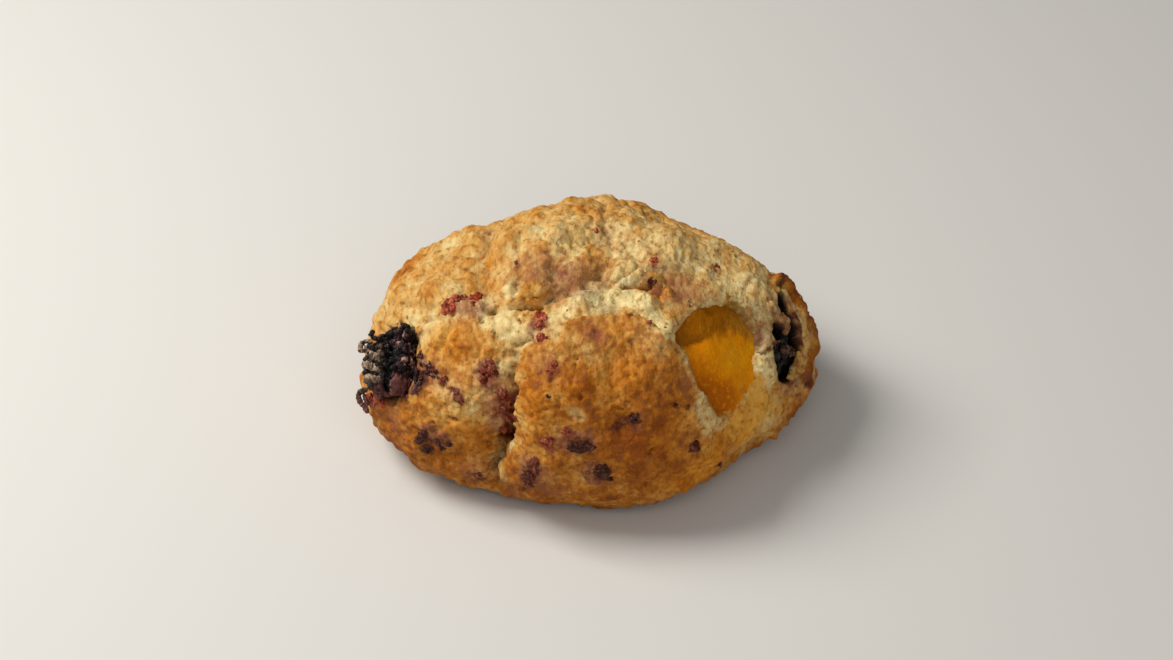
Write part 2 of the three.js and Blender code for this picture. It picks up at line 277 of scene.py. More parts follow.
def neighbours(mesh):
    """The two ends of each edge of a mesh."""
    ends = np.zeros(len(mesh.edges) * 2, int)
    mesh.edges.foreach_get("vertices", ends)
    return ends.reshape(-1, 2).T


def relax(points, edges, share, passes, free=None):
    """Draws points towards the middle of their neighbours, all of them or the free ones."""
    count = len(points)
    a, b = edges if free is None else edges[:, free[edges[0]] | free[edges[1]]]
    joints = np.bincount(a, minlength=count) + np.bincount(b, minlength=count)
    moving = joints > 0 if free is None else free
    points = points.copy()
    for _ in range(passes):
        for axis in range(points.shape[1]):
            line = points[:, axis]
            total = np.bincount(a, line[b], count) + np.bincount(b, line[a], count)
            middle = total[moving] / joints[moving]
            points[moving, axis] += share * (middle - line[moving])
    return points


def corners_of(mesh):
    """The three corners of each triangle of a mesh."""
    corners = np.zeros(len(mesh.polygons) * 3, int)
    mesh.polygons.foreach_get("vertices", corners)
    return corners.reshape(-1, 3)


def outward(points, mesh):
    """Unit normals of a closed mesh of triangles whose points have moved."""
    a, b, c = corners_of(mesh).T
    flat = np.cross(points[b] - points[a], points[c] - points[a])
    total = np.zeros_like(points)
    for axis in range(3):
        for corner in (a, b, c):
            total[:, axis] += np.bincount(corner, flat[:, axis], len(points))
    return total / np.linalg.norm(total, axis=1)[:, None]


def sample(look, points, size, shift=0):
    """What a noise gives at each point, with lumps of a given size."""
    offset = Vector((shift, shift * 2, -shift))
    return np.array([look(Vector(point) / size + offset) for point in points])


def soft_noise(points, size, shift=0):
    """Smooth noise, mostly between -0.7 and 0.7."""
    return sample(noise.noise, points, size, shift) * 1.6


def waves(points, *layers):
    """Layers of smooth noise added up, each of a height, a size and a shift."""
    return sum(height * soft_noise(points, size, shift) for height, size, shift in layers)


def between(ends, share):
    """The value at a share of the way between two ends."""
    return ends[0] + (ends[1] - ends[0]) * share


def climb(values, low, high):
    """0 below low, 1 above high, and a smooth climb between them."""
    share = np.clip((values - low) / (high - low), 0, 1)
    return share * share * (3 - 2 * share)


def bell(values, width):
    """1 at 0, falling off to 0 on both sides over about twice a width."""
    return np.exp(-(values / width) ** 2)


def store(mesh, **kept):
    """Keeps numbers in a mesh, one a point, each set under a name that its material reads."""
    for name, values in kept.items():
        layer = mesh.attributes.new(name, "FLOAT", "POINT")
        layer.data.foreach_set("value", np.asarray(values, np.float32))


def copy_of(node, cuts):
    """A bmesh of one solid in millimetres, merged and cut finer along round curves."""
    bm = bmesh.new()
    bm.from_mesh(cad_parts[node].data)
    bmesh.ops.transform(bm, matrix=Matrix.Scale(1 / MM, 4), verts=bm.verts)
    bmesh.ops.remove_doubles(bm, verts=bm.verts, dist=0.001)
    bmesh.ops.subdivide_edges(bm, edges=bm.edges, cuts=cuts, smooth=1.0, use_grid_fill=True)
    bmesh.ops.triangulate(bm, faces=bm.faces)
    return bm


def mesh_from(bm, name):
    """The finished mesh of a bmesh, and its points."""
    mesh = bpy.data.meshes.new(name)
    bm.to_mesh(mesh)
    bm.free()
    points = np.zeros(len(mesh.vertices) * 3)
    mesh.vertices.foreach_get("co", points)
    return mesh, points.reshape(-1, 3)


def finish_piece(name, mesh, material, slot, *nodes):
    """Makes a mesh in millimetres a piece of the scone that stands for some of its solids."""
    mesh.transform(Matrix.Scale(MM, 4))
    mesh.polygons.foreach_set("use_smooth", [True] * len(mesh.polygons))
    mesh.materials.append(material)
    mesh.update()
    piece = bpy.data.objects.new(name, mesh)
    bpy.context.collection.objects.link(piece)
    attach(piece, "root")
    if nodes:
        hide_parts(*nodes)
    return piece


def paint(code):
    """The linear colour of a paint given as #rrggbb."""
    parts = [int(code[i:i + 2], 16) / 255 for i in (1, 3, 5)]
    linear = [part / 12.92 if part <= 0.04045 else ((part + 0.055) / 1.055) ** 2.4 for part in parts]
    return (*linear, 1)


def reading(tree, name):
    """What a mesh keeps under a name."""
    return add(tree, "Attribute", {"attribute_name": name}).outputs["Fac"]


def sum_of(tree, a, b, times=1.0):
    """a + b * times."""
    made = add(tree, "Math", {"operation": "MULTIPLY_ADD"})
    for socket, value in zip(made.inputs, (b, times, a)):
        plug(tree, socket, value)
    return made.outputs[0]


def product(tree, a, b):
    made = add(tree, "Math", {"operation": "MULTIPLY"})
    for socket, value in zip(made.inputs, (a, b)):
        plug(tree, socket, value)
    return made.outputs[0]


def span(tree, value, low, high, to_low=0.0, to_high=1.0):
    """Value drawn out so that low becomes to_low and high to_high, and held there."""
    return add(tree, "MapRange", Value=value, From_Min=low, From_Max=high, To_Min=to_low,
               To_Max=to_high).outputs[0]


def mixed(tree, share, a, b, way="MIX"):
    """Two colours mixed."""
    made = add(tree, "Mix", {"data_type": "RGBA", "blend_type": way, "clamp_factor": True})
    for index, value in ((0, share), (6, a), (7, b)):
        plug(tree, made.inputs[index], value)
    return made.outputs[2]


def grained(tree, value, texture, amount):
    """Value made uneven by a texture."""
    return sum_of(tree, value, sum_of(tree, texture, -0.5), amount)


def tinge(tree, surface, name, colour, texture, amount, low, high, most):
    """A surface that takes on a colour where its mesh keeps a name, with a grained edge."""
    share = span(tree, grained(tree, reading(tree, name), texture, amount), low, high, 0.0, most)
    return mixed(tree, share, surface, colour)


def ramp(tree, value, *stops):
    """A colour from a row of (place, paint), lowest place first."""
    made = add(tree, "ValToRGB", Fac=value)
    steps = made.color_ramp.elements
    steps[1].position = stops[-1][0]
    steps[0].position = stops[0][0]
    for place, _ in stops[1:-1]:
        steps.new(place)
    for step, (_, code) in zip(steps, stops):
        step.color = paint(code)
    return made.outputs[0]


# Mottling that every food surface here has: patches of a size, grains in them and specks.
mottling = bpy.data.node_groups.new("mottling", "ShaderNodeTree")
mottling.interface.new_socket("Size", in_out="INPUT", socket_type="NodeSocketFloat")
inside = add(mottling, "Math", {"operation": "DIVIDE"})
inside.inputs[0].default_value = 1 / MM
mottling.links.new(mottling.nodes.new("NodeGroupInput").outputs["Size"], inside.inputs[1])
out_of = mottling.nodes.new("NodeGroupOutput")
place = add(mottling, "Mapping", Vector=add(mottling, "TexCoord").outputs["Object"],
            Scale=(1, 0.62, 1)).outputs[0]
for label, finer in (("Patches", 1), ("Grains", 3.2), ("Specks", 8)):
    mottling.interface.new_socket(label, in_out="OUTPUT", socket_type="NodeSocketFloat")
    noise_at = add(mottling, "TexNoise", Vector=place, Scale=product(mottling, inside.outputs[0], finer),
                   Detail=2.0, Roughness=0.55)
    mottling.links.new(noise_at.outputs["Fac"], out_of.inputs[label])


def mottled(tree, size):
    """The patches, grains and specks of the mottling, for patches of a size in millimetres."""
    made = add(tree, "Group", {"node_tree": mottling}, Size=size)
    return [made.outputs[label] for label in ("Patches", "Grains", "Specks")]


def bumpy(tree, shader, height, depth, strength=1.0):
    """Relief too fine for the mesh, of a depth in millimetres."""
    bump = add(tree, "Bump", Height=height, Strength=strength, Distance=depth * MM)
    plug(tree, shader.inputs["Normal"], bump.outputs[0])


def coat(tree, shader, colour, roughness, shine):
    """Wires the colour and the roughness of a surface, and sets how strongly it shines."""
    plug(tree, shader.inputs["Base Color"], colour)
    plug(tree, shader.inputs["Roughness"], roughness)
    shader.inputs["Specular IOR Level"].default_value = shine


def let_light_in(shader, reach, scale):
    """Light spreads a little way under the surface, by a reach for red, green and blue."""
    shader.inputs["Subsurface Weight"].default_value = LIGHT_LET_IN
    shader.inputs["Subsurface Radius"].default_value = reach
    shader.inputs["Subsurface Scale"].default_value = scale


peach_mesh, flesh = mesh_from(copy_of("peach_chunk", cuts=5), "peach")
flesh = relax(flesh, neighbours(peach_mesh), share=0.5, passes=12)
out = outward(flesh, peach_mesh)
sideways = 1 - climb(out @ np.array(sight(*PEACH_MIDDLE).normalized()) * -1, 0.2, 0.7)
swell = between(PEACH_GROWTH, sideways)
swell += waves(flesh, (0.3, 7, 4), (0.14, 2.4, 6))
swell += waves(flesh * FIBRES, (0.1, 1.1, 8), (0.06, 0.6, 2))
swell -= CREASE_DEPTH * bell(distances(flesh, trace(PEACH_CREASE), reach=3), CREASE_WIDTH)
swell -= PORE_DEPTH * blob(flesh, PEACH_PORE, PORE_REACH)
facing = out @ np.array(backward)
sides = climb(in_picture(flesh)[0], *SHADE_SIDES)
uneven = waves(flesh, (0.4, 1.6, 0), (0.3, 0.7, 4)) * between((0.4, 1), sides)
in_shade = depth_inside(flesh, facing, PEACH_SHADE) / between(SHADE_EDGE, sides)
tints = {tint: np.clip(blobs(flesh, places), 0, 1) for tint, places in PEACH_TINTS.items()}
store(peach_mesh, shaded=climb(in_shade + uneven, -0.5, 0.5), **tints)
flesh = flesh + out * swell[:, None]
peach_mesh.vertices.foreach_set("co", flesh.ravel())
flesh_tree = BVHTree.FromPolygons([Vector(point) for point in flesh], corners_of(peach_mesh).tolist())

peach_material, tree, shader = new_material("peach_flesh")
patches, grains, specks = mottled(tree, 3.2)
flesh_paint = mixed(tree, span(tree, patches, 0.35, 0.65), paint("#c87002"), paint("#e38a03"))
flesh_paint = mixed(tree, reading(tree, "yellow"), flesh_paint, paint("#e99c0c"))
# deeper orange-red along the flap's edge and at the bottom of the opening: partly the flesh's redder
# tone, partly painted shade where the flap shades it
flesh_paint = mixed(tree, reading(tree, "red"), flesh_paint, paint("#b05c04"))
flecks = span(tree, grains, 0.52, 0.68, 0.0, 0.4)
flesh_paint = mixed(tree, flecks, flesh_paint, paint("#f0a80c"))
# painted shade: where the arch's shadow falls, the flesh is mixed towards a dark olive gold
flesh_paint = mixed(tree, product(tree, reading(tree, "shaded"), 0.9), flesh_paint, paint("#8c5203"))
flesh_paint = tinge(tree, flesh_paint, "brown", paint("#ae7620"), grains, 1.6, 0.1, 1.0, most=0.75)
coat(tree, shader, flesh_paint, span(tree, grains, 0.3, 0.7, 0.36, 0.5), shine=0.05)
let_light_in(shader, (0.003, 0.0012, 0.0001), scale=0.7)
bumpy(tree, shader, sum_of(tree, specks, grains, 0.8), depth=0.45, strength=0.6)
finish_piece("peach", peach_mesh, peach_material, "peach", "peach_chunk")

# ---- Dough ------------------------------------------------------------------------------------
# The baked mound itself: a soft, lumpy scone dough that rose, cracked and tore open, golden to
# brown on its crust and pale where the crumb shows. It holds all the fruit. The skin is drawn
# over the solid, and its cracks, torn lips, knobs and pores are then worked into it.

BELLY = Vector((-0.2, 0.3, 13))      # the middle that the crust is reached from
EGG_MIDDLE = Vector((0, 0, 20))      # an egg of about the scone's shape spaces the points evenly
EGG = Vector((54, 48, 27))
EGG_CUTS = 7
FAR_OUT = 120                        # outside of the scone in every direction
FINE_BELOW = 0.14                    # crust that faces the camera by more than this is cut finer
DRAWN_OUT = (1, 0.62, 1)             # the dough's lumps are longer from front to back
SOCKET_REACH = 1.15                  # crust closer to buried fruit than this is bridged over
SMALL_FRUIT = [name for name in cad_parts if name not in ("dough", "peach_chunk")]

# The texture all over the crust: lumps of a size, height and shift, grains, and pits.
CRUST_LUMPS = [(8, 1.5, 0), (3.6, 1.2, 5)]
LUMP_LEVEL = 0.25                    # what lumps() gives where they neither rise nor sink
GRAIN = 1.9
GRAIN_HEIGHT = 0.65
GRAIN_LEVEL = 0.3
PIT = 1.7
PIT_DEPTH = 0.5
PIT_WALL = (0.55, 0.85)              # the noise at a pit's rim and at its floor
TORN_LUMP = 2.8
TORN_HEIGHT = 0.6
TORN_LEVEL = 0.33
SWIRL = 0.8                          # how far the lumps' rows wander
HUG_HEIGHT = 0.6                     # the dough rises this much against small fruit
HUG_WIDTH = 1.2
KNOB_HEIGHT = 0.6                    # dough that stands out this far is painted as a knob,
HOLLOW_DEPTH = 1.6                   # and where it lies this deep, as a hollow

# Tears, cracks and folds: a path through the picture, and the width and depth in millimetres.
CRACK_STEEPNESS = 1.4
CRACK_RAGGED = 0.8
CRACKS = [
    # left of the front lobe, down to its notch
    ([(521, 343), (516, 358), (513, 374), (517, 388), (512, 402), (515, 418), (511, 432), (501, 441),
      (499, 452), (493, 464), (496, 476), (493, 488)], 3.0, 2.0),
    ([(515, 392), (513, 404), (513, 416)], 1.3, 2.4),
    ([(500, 438), (506, 435), (512, 431)], 1.4, 2.8),
    # the crevice under the upper lobe, and the torn hollow that goes on from it
    ([(517, 306), (524, 307), (532, 306), (541, 305)], 1.2, 3.2),
    ([(526, 303), (536, 302), (546, 300)], 2.6, 1.2),
    ([(552, 296), (562, 290), (572, 296)], 3.6, 0.9),
    ([(585, 286), (600, 284), (612, 282)], 2.6, 0.9),
    # the tear over the front lobe's upper edge
    ([(522, 341), (545, 321), (575, 311)], 2.4, 0.9),
    ([(640, 309), (662, 323), (680, 343)], 2.4, 0.9),
    # from the crest down, crooked
    ([(607, 199), (602, 208), (605, 216)], 1.5, 1.1),
    ([(603, 222), (609, 232), (613, 246), (608, 256)], 1.8, 0.8),
    ([(604, 264), (600, 274), (609, 284)], 1.6, 0.9),
    # the furrow beside the upper left lobe
    ([(491, 220), (485, 236), (480, 255), (479, 272), (482, 292), (490, 305)], 4.5, 1.4),
    # between the two upper lobes' knobs
    ([(520, 232), (516, 250), (522, 268), (518, 284)], 2.6, 0.7),
    ([(545, 232), (560, 240), (575, 236), (590, 244)], 2.6, 0.7),
    ([(548, 262), (560, 272), (572, 270), (585, 276), (598, 272)], 2.4, 0.8),
    ([(400, 300), (415, 306), (424, 318)], 2.6, 0.7),
    ([(408, 262), (424, 268), (438, 264), (452, 270)], 2.6, 0.6),
    ([(430, 285), (436, 300), (432, 318)], 2.6, 0.6),
    ([(470, 330), (478, 345), (472, 360)], 2.4, 0.6),
    # under the curl
    ([(624, 286), (634, 289), (641, 288), (650, 284)], 2.2, 2.0),
    ([(656, 262), (664, 272), (668, 284)], 1.6, 0.8),
    # the base of the left end
    ([(494, 488), (512, 490), (530, 493), (545, 501)], 2.4, 1.2),
    # fine ones on the front lobe and beside it
    ([(565, 474), (571, 469), (579, 467), (590, 474), (600, 479), (612, 481)], 1.2, 0.8),
    ([(572, 452), (584, 455), (596, 451)], 1.4, 0.6),
    ([(446, 462), (449, 474), (447, 484)], 1.4, 0.6),
    ([(486, 443), (497, 446), (505, 440)], 1.4, 1.0),
    ([(491, 470), (493, 458), (500, 452)], 1.8, 1.2),
    ([(700, 432), (712, 428), (722, 436)], 1.6, 0.5),
    ([(600, 492), (630, 494), (656, 488)], 1.4, 0.5),
    ([(560, 496), (585, 500), (610, 502)], 1.4, 0.4),
    # the groove inside the right rim
    ([(778, 281), (786, 284), (792, 290)], 1.2, 1.2),
    ([(792, 290), (799, 304), (805, 322), (808, 345), (806, 366), (799, 388), (790, 404)], 1.8, 1.2),
]

# Ridges, lips and rims that stand up: a path, width and height.
RIDGE_STEEPNESS = 0.9
RIDGES = [
    # the pale ledge between the upper lobe and the front lobe
    ([(578, 304), (588, 294), (604, 292), (622, 291), (640, 296), (650, 300)], 4.2, 1.7),
    ([(552, 303), (566, 300), (578, 296)], 4.0, 1.3),
    # two folded knobs over the hollow on the crest
    ([(609, 281), (620, 272), (632, 264)], 2.8, 0.6),
    ([(618, 284), (628, 276), (640, 270)], 2.4, 0.4),
    # the right rim
    ([(775, 275), (785, 279), (793, 286), (800, 299), (807, 313), (812, 328), (815, 343), (813, 360),
      (809, 381), (799, 401), (786, 421), (772, 434)], 2.0, 1.4),
    # the arch over the peach
    ([(664, 334), (671, 325), (683, 313), (695, 303), (704, 297), (713, 295), (722, 296)], 3.6, 1.2),
    # the curl on the crest
    ([(645, 274), (656, 276), (664, 284), (671, 296)], 2.6, 0.6),
    # the lip between the left crack and the lobe beside it
    ([(517, 352), (519, 375), (519, 405), (517, 425)], 2.6, 0.7),
    ([(690, 418), (700, 424), (712, 424), (724, 420)], 3.0, 0.5),
    ([(722, 420), (735, 410), (744, 398)], 2.6, 0.7),
]

# Pores and pits: where, how wide and how deep.
PORES = [
    ((494, 307), 2.3, 2.0), ((529, 334), 1.7, 1.6), ((542, 330), 1.1, 1.0), ((504, 291), 1.2, 0.7),
    ((513, 290), 1.3, 0.9), ((615, 299), 1.5, 0.9), ((551, 276), 1.3, 0.9), ((556, 283), 1.5, 0.9),
    ((551, 294), 1.2, 1.2), ((567, 292), 1.3, 1.1), ((634, 311), 1.6, 1.3), ((709, 436), 1.2, 0.7),
    ((545, 408), 0.9, 0.8), ((498, 458), 1.6, 1.0), ((509, 450), 0.9, 0.8), ((509, 481), 0.9, 0.6),
    ((484, 231), 2.2, 1.0), ((554, 424), 1.0, 0.8), ((547, 440), 1.0, 0.7), ((578, 354), 1.4, 0.9),
    ((588, 351), 1.1, 0.7), ((629, 361), 1.0, 0.6), ((553, 352), 0.9, 0.7), ((632, 415), 0.9, 0.7),
    ((516, 362), 0.9, 0.7), ((508, 390), 1.2, 0.8), ((674, 402), 1.0, 0.7), ((692, 408), 0.9, 0.7),
    ((586, 300), 1.0, 0.8), ((603, 297), 0.8, 0.7), ((620, 294), 0.9, 0.7), ((640, 300), 0.8, 0.6),
    ((771, 381), 1.0, 0.7), ((762, 392), 0.9, 0.5), ((616, 413), 0.9, 0.6), ((456, 372), 0.8, 0.6),
    ((526, 258), 1.0, 0.5), ((548, 268), 1.0, 0.5), ((738, 253), 1.2, 0.5), ((600, 465), 1.0, 0.7),
    ((780, 329), 2.6, 1.8), ((515, 312), 1.2, 0.8), ((556, 300), 1.2, 0.8), ((640, 318), 1.0, 0.6),
    ((676, 405), 0.9, 0.6), ((660, 402), 0.8, 0.5), ((596, 336), 0.9, 0.5), ((566, 310), 0.8, 0.5),
]

# Single knobs: where, how far they reach and how high they stand.
KNOBS = [
    ((766, 366), 4.0, 2.3), ((760, 361), 2.4, 0.9), ((771, 379), 2.6, 1.1), ((605, 402), 5.5, 0.7),
    ((535, 293), 3.6, 0.9), ((508, 287), 2.6, 0.6), ((520, 272), 3.6, 0.6), ((592, 262), 3.4, 0.6),
    ((604, 234), 2.4, 0.5), ((546, 243), 3.4, 0.6), ((572, 222), 3.6, 0.6), ((526, 226), 3.4, 0.6),
    ((748, 300), 4.0, 0.6), ((772, 294), 2.6, 0.8), ((758, 278), 3.6, 0.5), ((776, 318), 2.0, 0.6),
    ((583, 384), 4.5, 0.7), ((628, 378), 4.5, 0.6), ((560, 345), 4.0, 0.5), ((622, 338), 5.0, 0.5),
    ((655, 420), 5.0, 0.4), ((545, 398), 3.5, 0.4), ((590, 425), 3.5, 0.3), ((532, 470), 3.5, 0.4),
    ((468, 432), 4.0, 0.6), ((412, 312), 2.8, 0.9), ((430, 294), 4.0, 0.8), ((455, 340), 4.0, 0.6),
    ((400, 287), 3.4, 0.8), ((555, 228), 4.5, 0.8), ((588, 214), 3.5, 0.6), ((530, 284), 3.5, 0.7),
    ((576, 258), 3.5, 0.6), ((628, 232), 3.0, 0.5), ((652, 246), 3.0, 0.5), ((690, 247), 4.0, 0.5),
    ((505, 240), 4.0, 0.8), ((455, 400), 2.6, 0.5), ((450, 265), 3.6, 0.7), ((425, 262), 3.2, 0.6),
    ((470, 245), 3.2, 0.6), ((375, 305), 3.0, 0.8), ((388, 320), 2.4, 0.6), ((540, 212), 3.5, 0.6),
    ((615, 222), 2.4, 0.4), ((640, 268), 2.8, 0.6), ((622, 262), 2.4, 0.5), ((668, 232), 3.5, 0.5),
    ((720, 262), 3.5, 0.5), ((745, 275), 3.5, 0.5), ((600, 345), 3.0, 0.4), ((505, 275), 3.0, 0.7),
    ((548, 286), 3.0, 0.6), ((592, 284), 2.6, 0.5), ((660, 375), 4.0, 0.3), ((430, 405), 3.0, 0.5),
    ((470, 385), 3.0, 0.4), ((440, 375), 3.0, 0.4), ((740, 430), 4.0, 0.4), ((700, 462), 4.0, 0.4),
]
# Where the crust is smoother than elsewhere.
SMOOTH = [
    ((700, 296), 6.0, 0.8), ((716, 290), 5.0, 0.6), ((688, 312), 4.0, 0.5), ((690, 378), 5.0, 0.7),
    ((700, 392), 4.0, 0.5), ((675, 350), 5.0, 0.4), ((750, 385), 4.0, 0.5), ((730, 405), 4.0, 0.5),
    ((744, 298), 6.0, 0.6), ((640, 400), 9.0, 0.3), ((735, 262), 8.0, 0.5), ((705, 242), 7.0, 0.3),
]

# The front lobe rose over its neighbours, and its right lip is a thin flap over the peach.
FLAP_EDGE = [(686, 354), (690, 366), (695, 379), (699, 387), (707, 395), (709, 401), (713, 407)]
FRONT_LOBE = [
    (515, 347), (530, 333), (547, 322), (575, 313), (608, 310), (640, 311), (662, 325), (683, 345),
    *FLAP_EDGE, (716, 415), (712, 440), (690, 490), (600, 512), (500, 500), (498, 476), (508, 452),
    (514, 436), (515, 400), (513, 370),
]
LOBE_CRISPING = 1.7                  # how much the soft step of the solid is drawn up and down
LOBE_LIP = 1.1                       # width of the crisp edge
LOBE_SOFT = 5.5                      # width of the solid's own step
LOBE_FOOT = (430, 480)               # down between these its edge fades
LOBE_LEFT = (512, 532)               # left of these its edge is more ragged and lower

# The opening over the peach. The left side is the flap's torn edge, the right a thin film.
PEACH_WINDOW = [
    (672, 334), (675, 328), (681, 324), (688, 318), (697, 312), (702, 307), (710, 305), (718, 307),
    (724, 303), (733, 307), (742, 317), (749, 330), (753, 345), (752, 358), (746, 366), (743, 378),
    (739, 392), (733, 403), (723, 411), (717, 416), *FLAP_EDGE[::-1], (682, 345), (675, 341),
]
WINDOW_SINK = 1.3                    # the dough's skin passes this far under the peach's
WINDOW_STAND = (0.8, 0.6)            # outside of the opening it covers the peach this thick
WINDOW_EDGE = (0.8, 2.4)             # width of its left and of its right edge
WINDOW_SIDES = (706, 740)            # between these, across, the edge widens and thins
WINDOW_TATTER = (0.2, 1.0)           # how ragged its left and its right edge are
FILM = 3.4                           # width of the film through which the peach still shines
HONEYED = 2                          # width of its lower part, which is honey-coloured
FILM_TURNS = (338, 352)              # above these the film is brown, below them honey-coloured

# The slit in the right end, where the other bramble burst, and the small cave beside it.
SLIT = [
    (776, 290), (784, 291), (787, 300), (790, 309), (795, 317), (798, 327), (799, 345), (802, 352),
    (803, 364), (795, 374), (789, 379), (785, 381), (781, 378), (778, 366), (776, 356), (776, 346),
    (781, 341), (787, 336), (790, 330), (790, 323), (784, 315), (779, 304),
]
CAVE = [(775, 321), (780, 323), (785, 327), (787, 333), (785, 340), (779, 337), (776, 330)]
SLIT_SINK = 4.2
SLIT_EDGE = 0.8
SLIT_CALM = 3.0                      # lumps fade this close to the slit

# Torn crumb that the crust doesn't cover: a path, how far the crumb reaches to each side and how
# bare it is.
TORN = [
    ([(580, 300), (592, 293), (606, 296), (625, 298), (645, 302)], 2.8, 1.0),
    ([(645, 302), (658, 312), (670, 330)], 2.6, 0.8),
    ([(522, 340), (534, 326), (550, 314), (566, 308)], 2.4, 0.8),
    ([(612, 226), (620, 240), (634, 256), (624, 276)], 4.4, 0.45),
    ([(655, 230), (662, 250), (652, 266)], 3.6, 0.3),
    ([(503, 322), (518, 330), (510, 348), (503, 364)], 3.2, 0.7),
    ([(742, 392), (736, 404), (728, 414)], 2.2, 0.6),
    ([(762, 358), (764, 370)], 3.2, 0.9),
    ([(800, 355), (798, 366), (792, 377)], 1.6, 0.95),
    ([(484, 296), (490, 316), (504, 314)], 2.8, 0.7),
    ([(702, 410), (712, 426), (724, 420)], 2.2, 0.6),
    ([(497, 464), (502, 476)], 1.6, 0.5),
    ([(512, 440), (508, 447)], 1.2, 0.8),
    ([(683, 345), (695, 379), (707, 395), (716, 414)], 0.6, 0.8),
    ([(674, 326), (690, 314), (704, 303), (716, 301)], 1.8, 0.4),
    ([(574, 410), (580, 416)], 1.3, 0.4),
    ([(507, 284), (512, 289)], 1.8, 0.6),
]

# How brown the crust is, from 0, pale dough, to 1, dark: the whole first, then places. Some of the
# places paint light and shade into it.
TOAST = 0.36
LOBE_TOAST = 0.08                    # the front lobe is this much browner,
FOOT_TOAST = 0.16                    # the foot of the mound this much,
BASE_TOAST = 0.3                     # and the base on the tray this much
TOASTED = [
    ((578, 385), 4.5, 0.20), ((597, 412), 6, 0.15), ((645, 432), 8, 0.18), ((650, 385), 9, 0.10),
    ((680, 400), 8, 0.12), ((640, 455), 9, 0.10), ((545, 495), 10, 0.08), ((455, 375), 4, 0.08),
    ((536, 402), 4, 0.16), ((532, 380), 4, 0.16), ((620, 330), 8, 0.14), ((410, 430), 8, 0.14),
    ((450, 430), 7, 0.08), ((430, 460), 8, 0.14), ((385, 415), 5, 0.14), ((480, 440), 5, 0.10),
    ((395, 275), 4, 0.16), ((407, 260), 3.5, 0.20), ((595, 203), 6, 0.10), ((812, 320), 4, 0.12),
    ((817, 345), 4, 0.12), ((817, 370), 3, 0.08), ((760, 250), 4, 0.12), ((775, 272), 3, 0.20),
    ((662, 286), 2.2, 0.34), ((470, 500), 10, 0.15), ((472, 280), 4, 0.12), ((430, 288), 4, 0.10),
    ((796, 290), 3, 0.20), ((600, 250), 3, 0.10), ((530, 290), 3.4, 0.20), ((585, 262), 3.5, 0.12),
    ((460, 340), 6, 0.14), ((487, 347), 5, 0.12), ((428, 383), 5, 0.12), ((416, 365), 4, 0.10),
    ((640, 475), 5, 0.10), ((505, 262), 3, 0.08), ((620, 440), 6, 0.10), ((565, 315), 3, 0.08),
    ((375, 335), 3, 0.08), ((570, 455), 5, 0.10), ((590, 334), 4, 0.08),
]
# Of these, the slope at (691, 256) below the crest is paled partly as painted light.
PALED = [
    ((678, 240), 6, 0.15), ((600, 300), 5, 0.34), ((715, 245), 6, 0.10), ((740, 297), 7, 0.30),
    ((750, 372), 3.4, 0.28), ((560, 222), 5, 0.08), ((420, 430), 5, 0.08), ((765, 408), 6, 0.14),
    ((645, 318), 5, 0.14), ((510, 320), 6, 0.14), ((480, 312), 5, 0.12), ((750, 272), 6, 0.14),
    ((765, 362), 5, 0.16), ((752, 385), 4, 0.28), ((728, 420), 4, 0.12), ((445, 240), 6, 0.16),
    ((691, 256), 6, 0.18), ((750, 425), 5, 0.14), ((470, 405), 4, 0.12), ((512, 288), 2.6, 0.20),
    ((545, 228), 8, 0.14), ((430, 320), 5, 0.12), ((500, 470), 4, 0.12), ((708, 418), 3, 0.2),
    ((592, 345), 4, 0.12), ((455, 285), 4, 0.14), ((400, 320), 5, 0.08), ((653, 345), 3, 0.12),
    ((780, 310), 3, 0.15), ((578, 414), 2.2, 0.12), ((555, 327), 3, 0.14), ((770, 330), 4, 0.10),
    ((440, 390), 3, 0.12), ((519, 380), 1.6, 0.12), ((770, 385), 3, 0.16), ((689, 360), 2, 0.15),
    ((702, 392), 2, 0.15), ((696, 312), 3, 0.10), ((415, 312), 4, 0.08),
]
# Edges that the oven caught, and thin ones that it left pale, their paleness partly a painted highlight
# along the rim; deep in the cracks, painted shade drawn as more toast: a path, its reach and more or
# less.
EDGE_TOAST_AND_PAINTED_LIGHT = [
    ([(775, 275), (785, 279), (793, 286), (800, 299), (807, 313), (812, 328), (815, 343), (813, 360),
      (809, 376)], 1.5, 0.2),
    ([(781, 285), (792, 294), (800, 310), (806, 328), (808, 345), (806, 362), (800, 382), (791, 400)],
     0.6, -0.2),
    ([(397, 290), (401, 272), (411, 259), (424, 249), (438, 241)], 1.4, 0.12),
    ([(682, 344), (686, 356), (693, 376), (704, 394), (712, 410)], 0.9, -0.22),
    # painted shade deep in the cracks
    ([(519, 307), (526, 307.5), (533, 307), (541, 305)], 0.55, 0.6),
    ([(500, 438), (506, 435), (512, 431)], 0.7, 0.6),
    ([(514, 394), (513, 404), (513, 416)], 0.55, 0.5),
    ([(626, 286), (634, 288), (640, 286)], 0.9, 0.4),
]
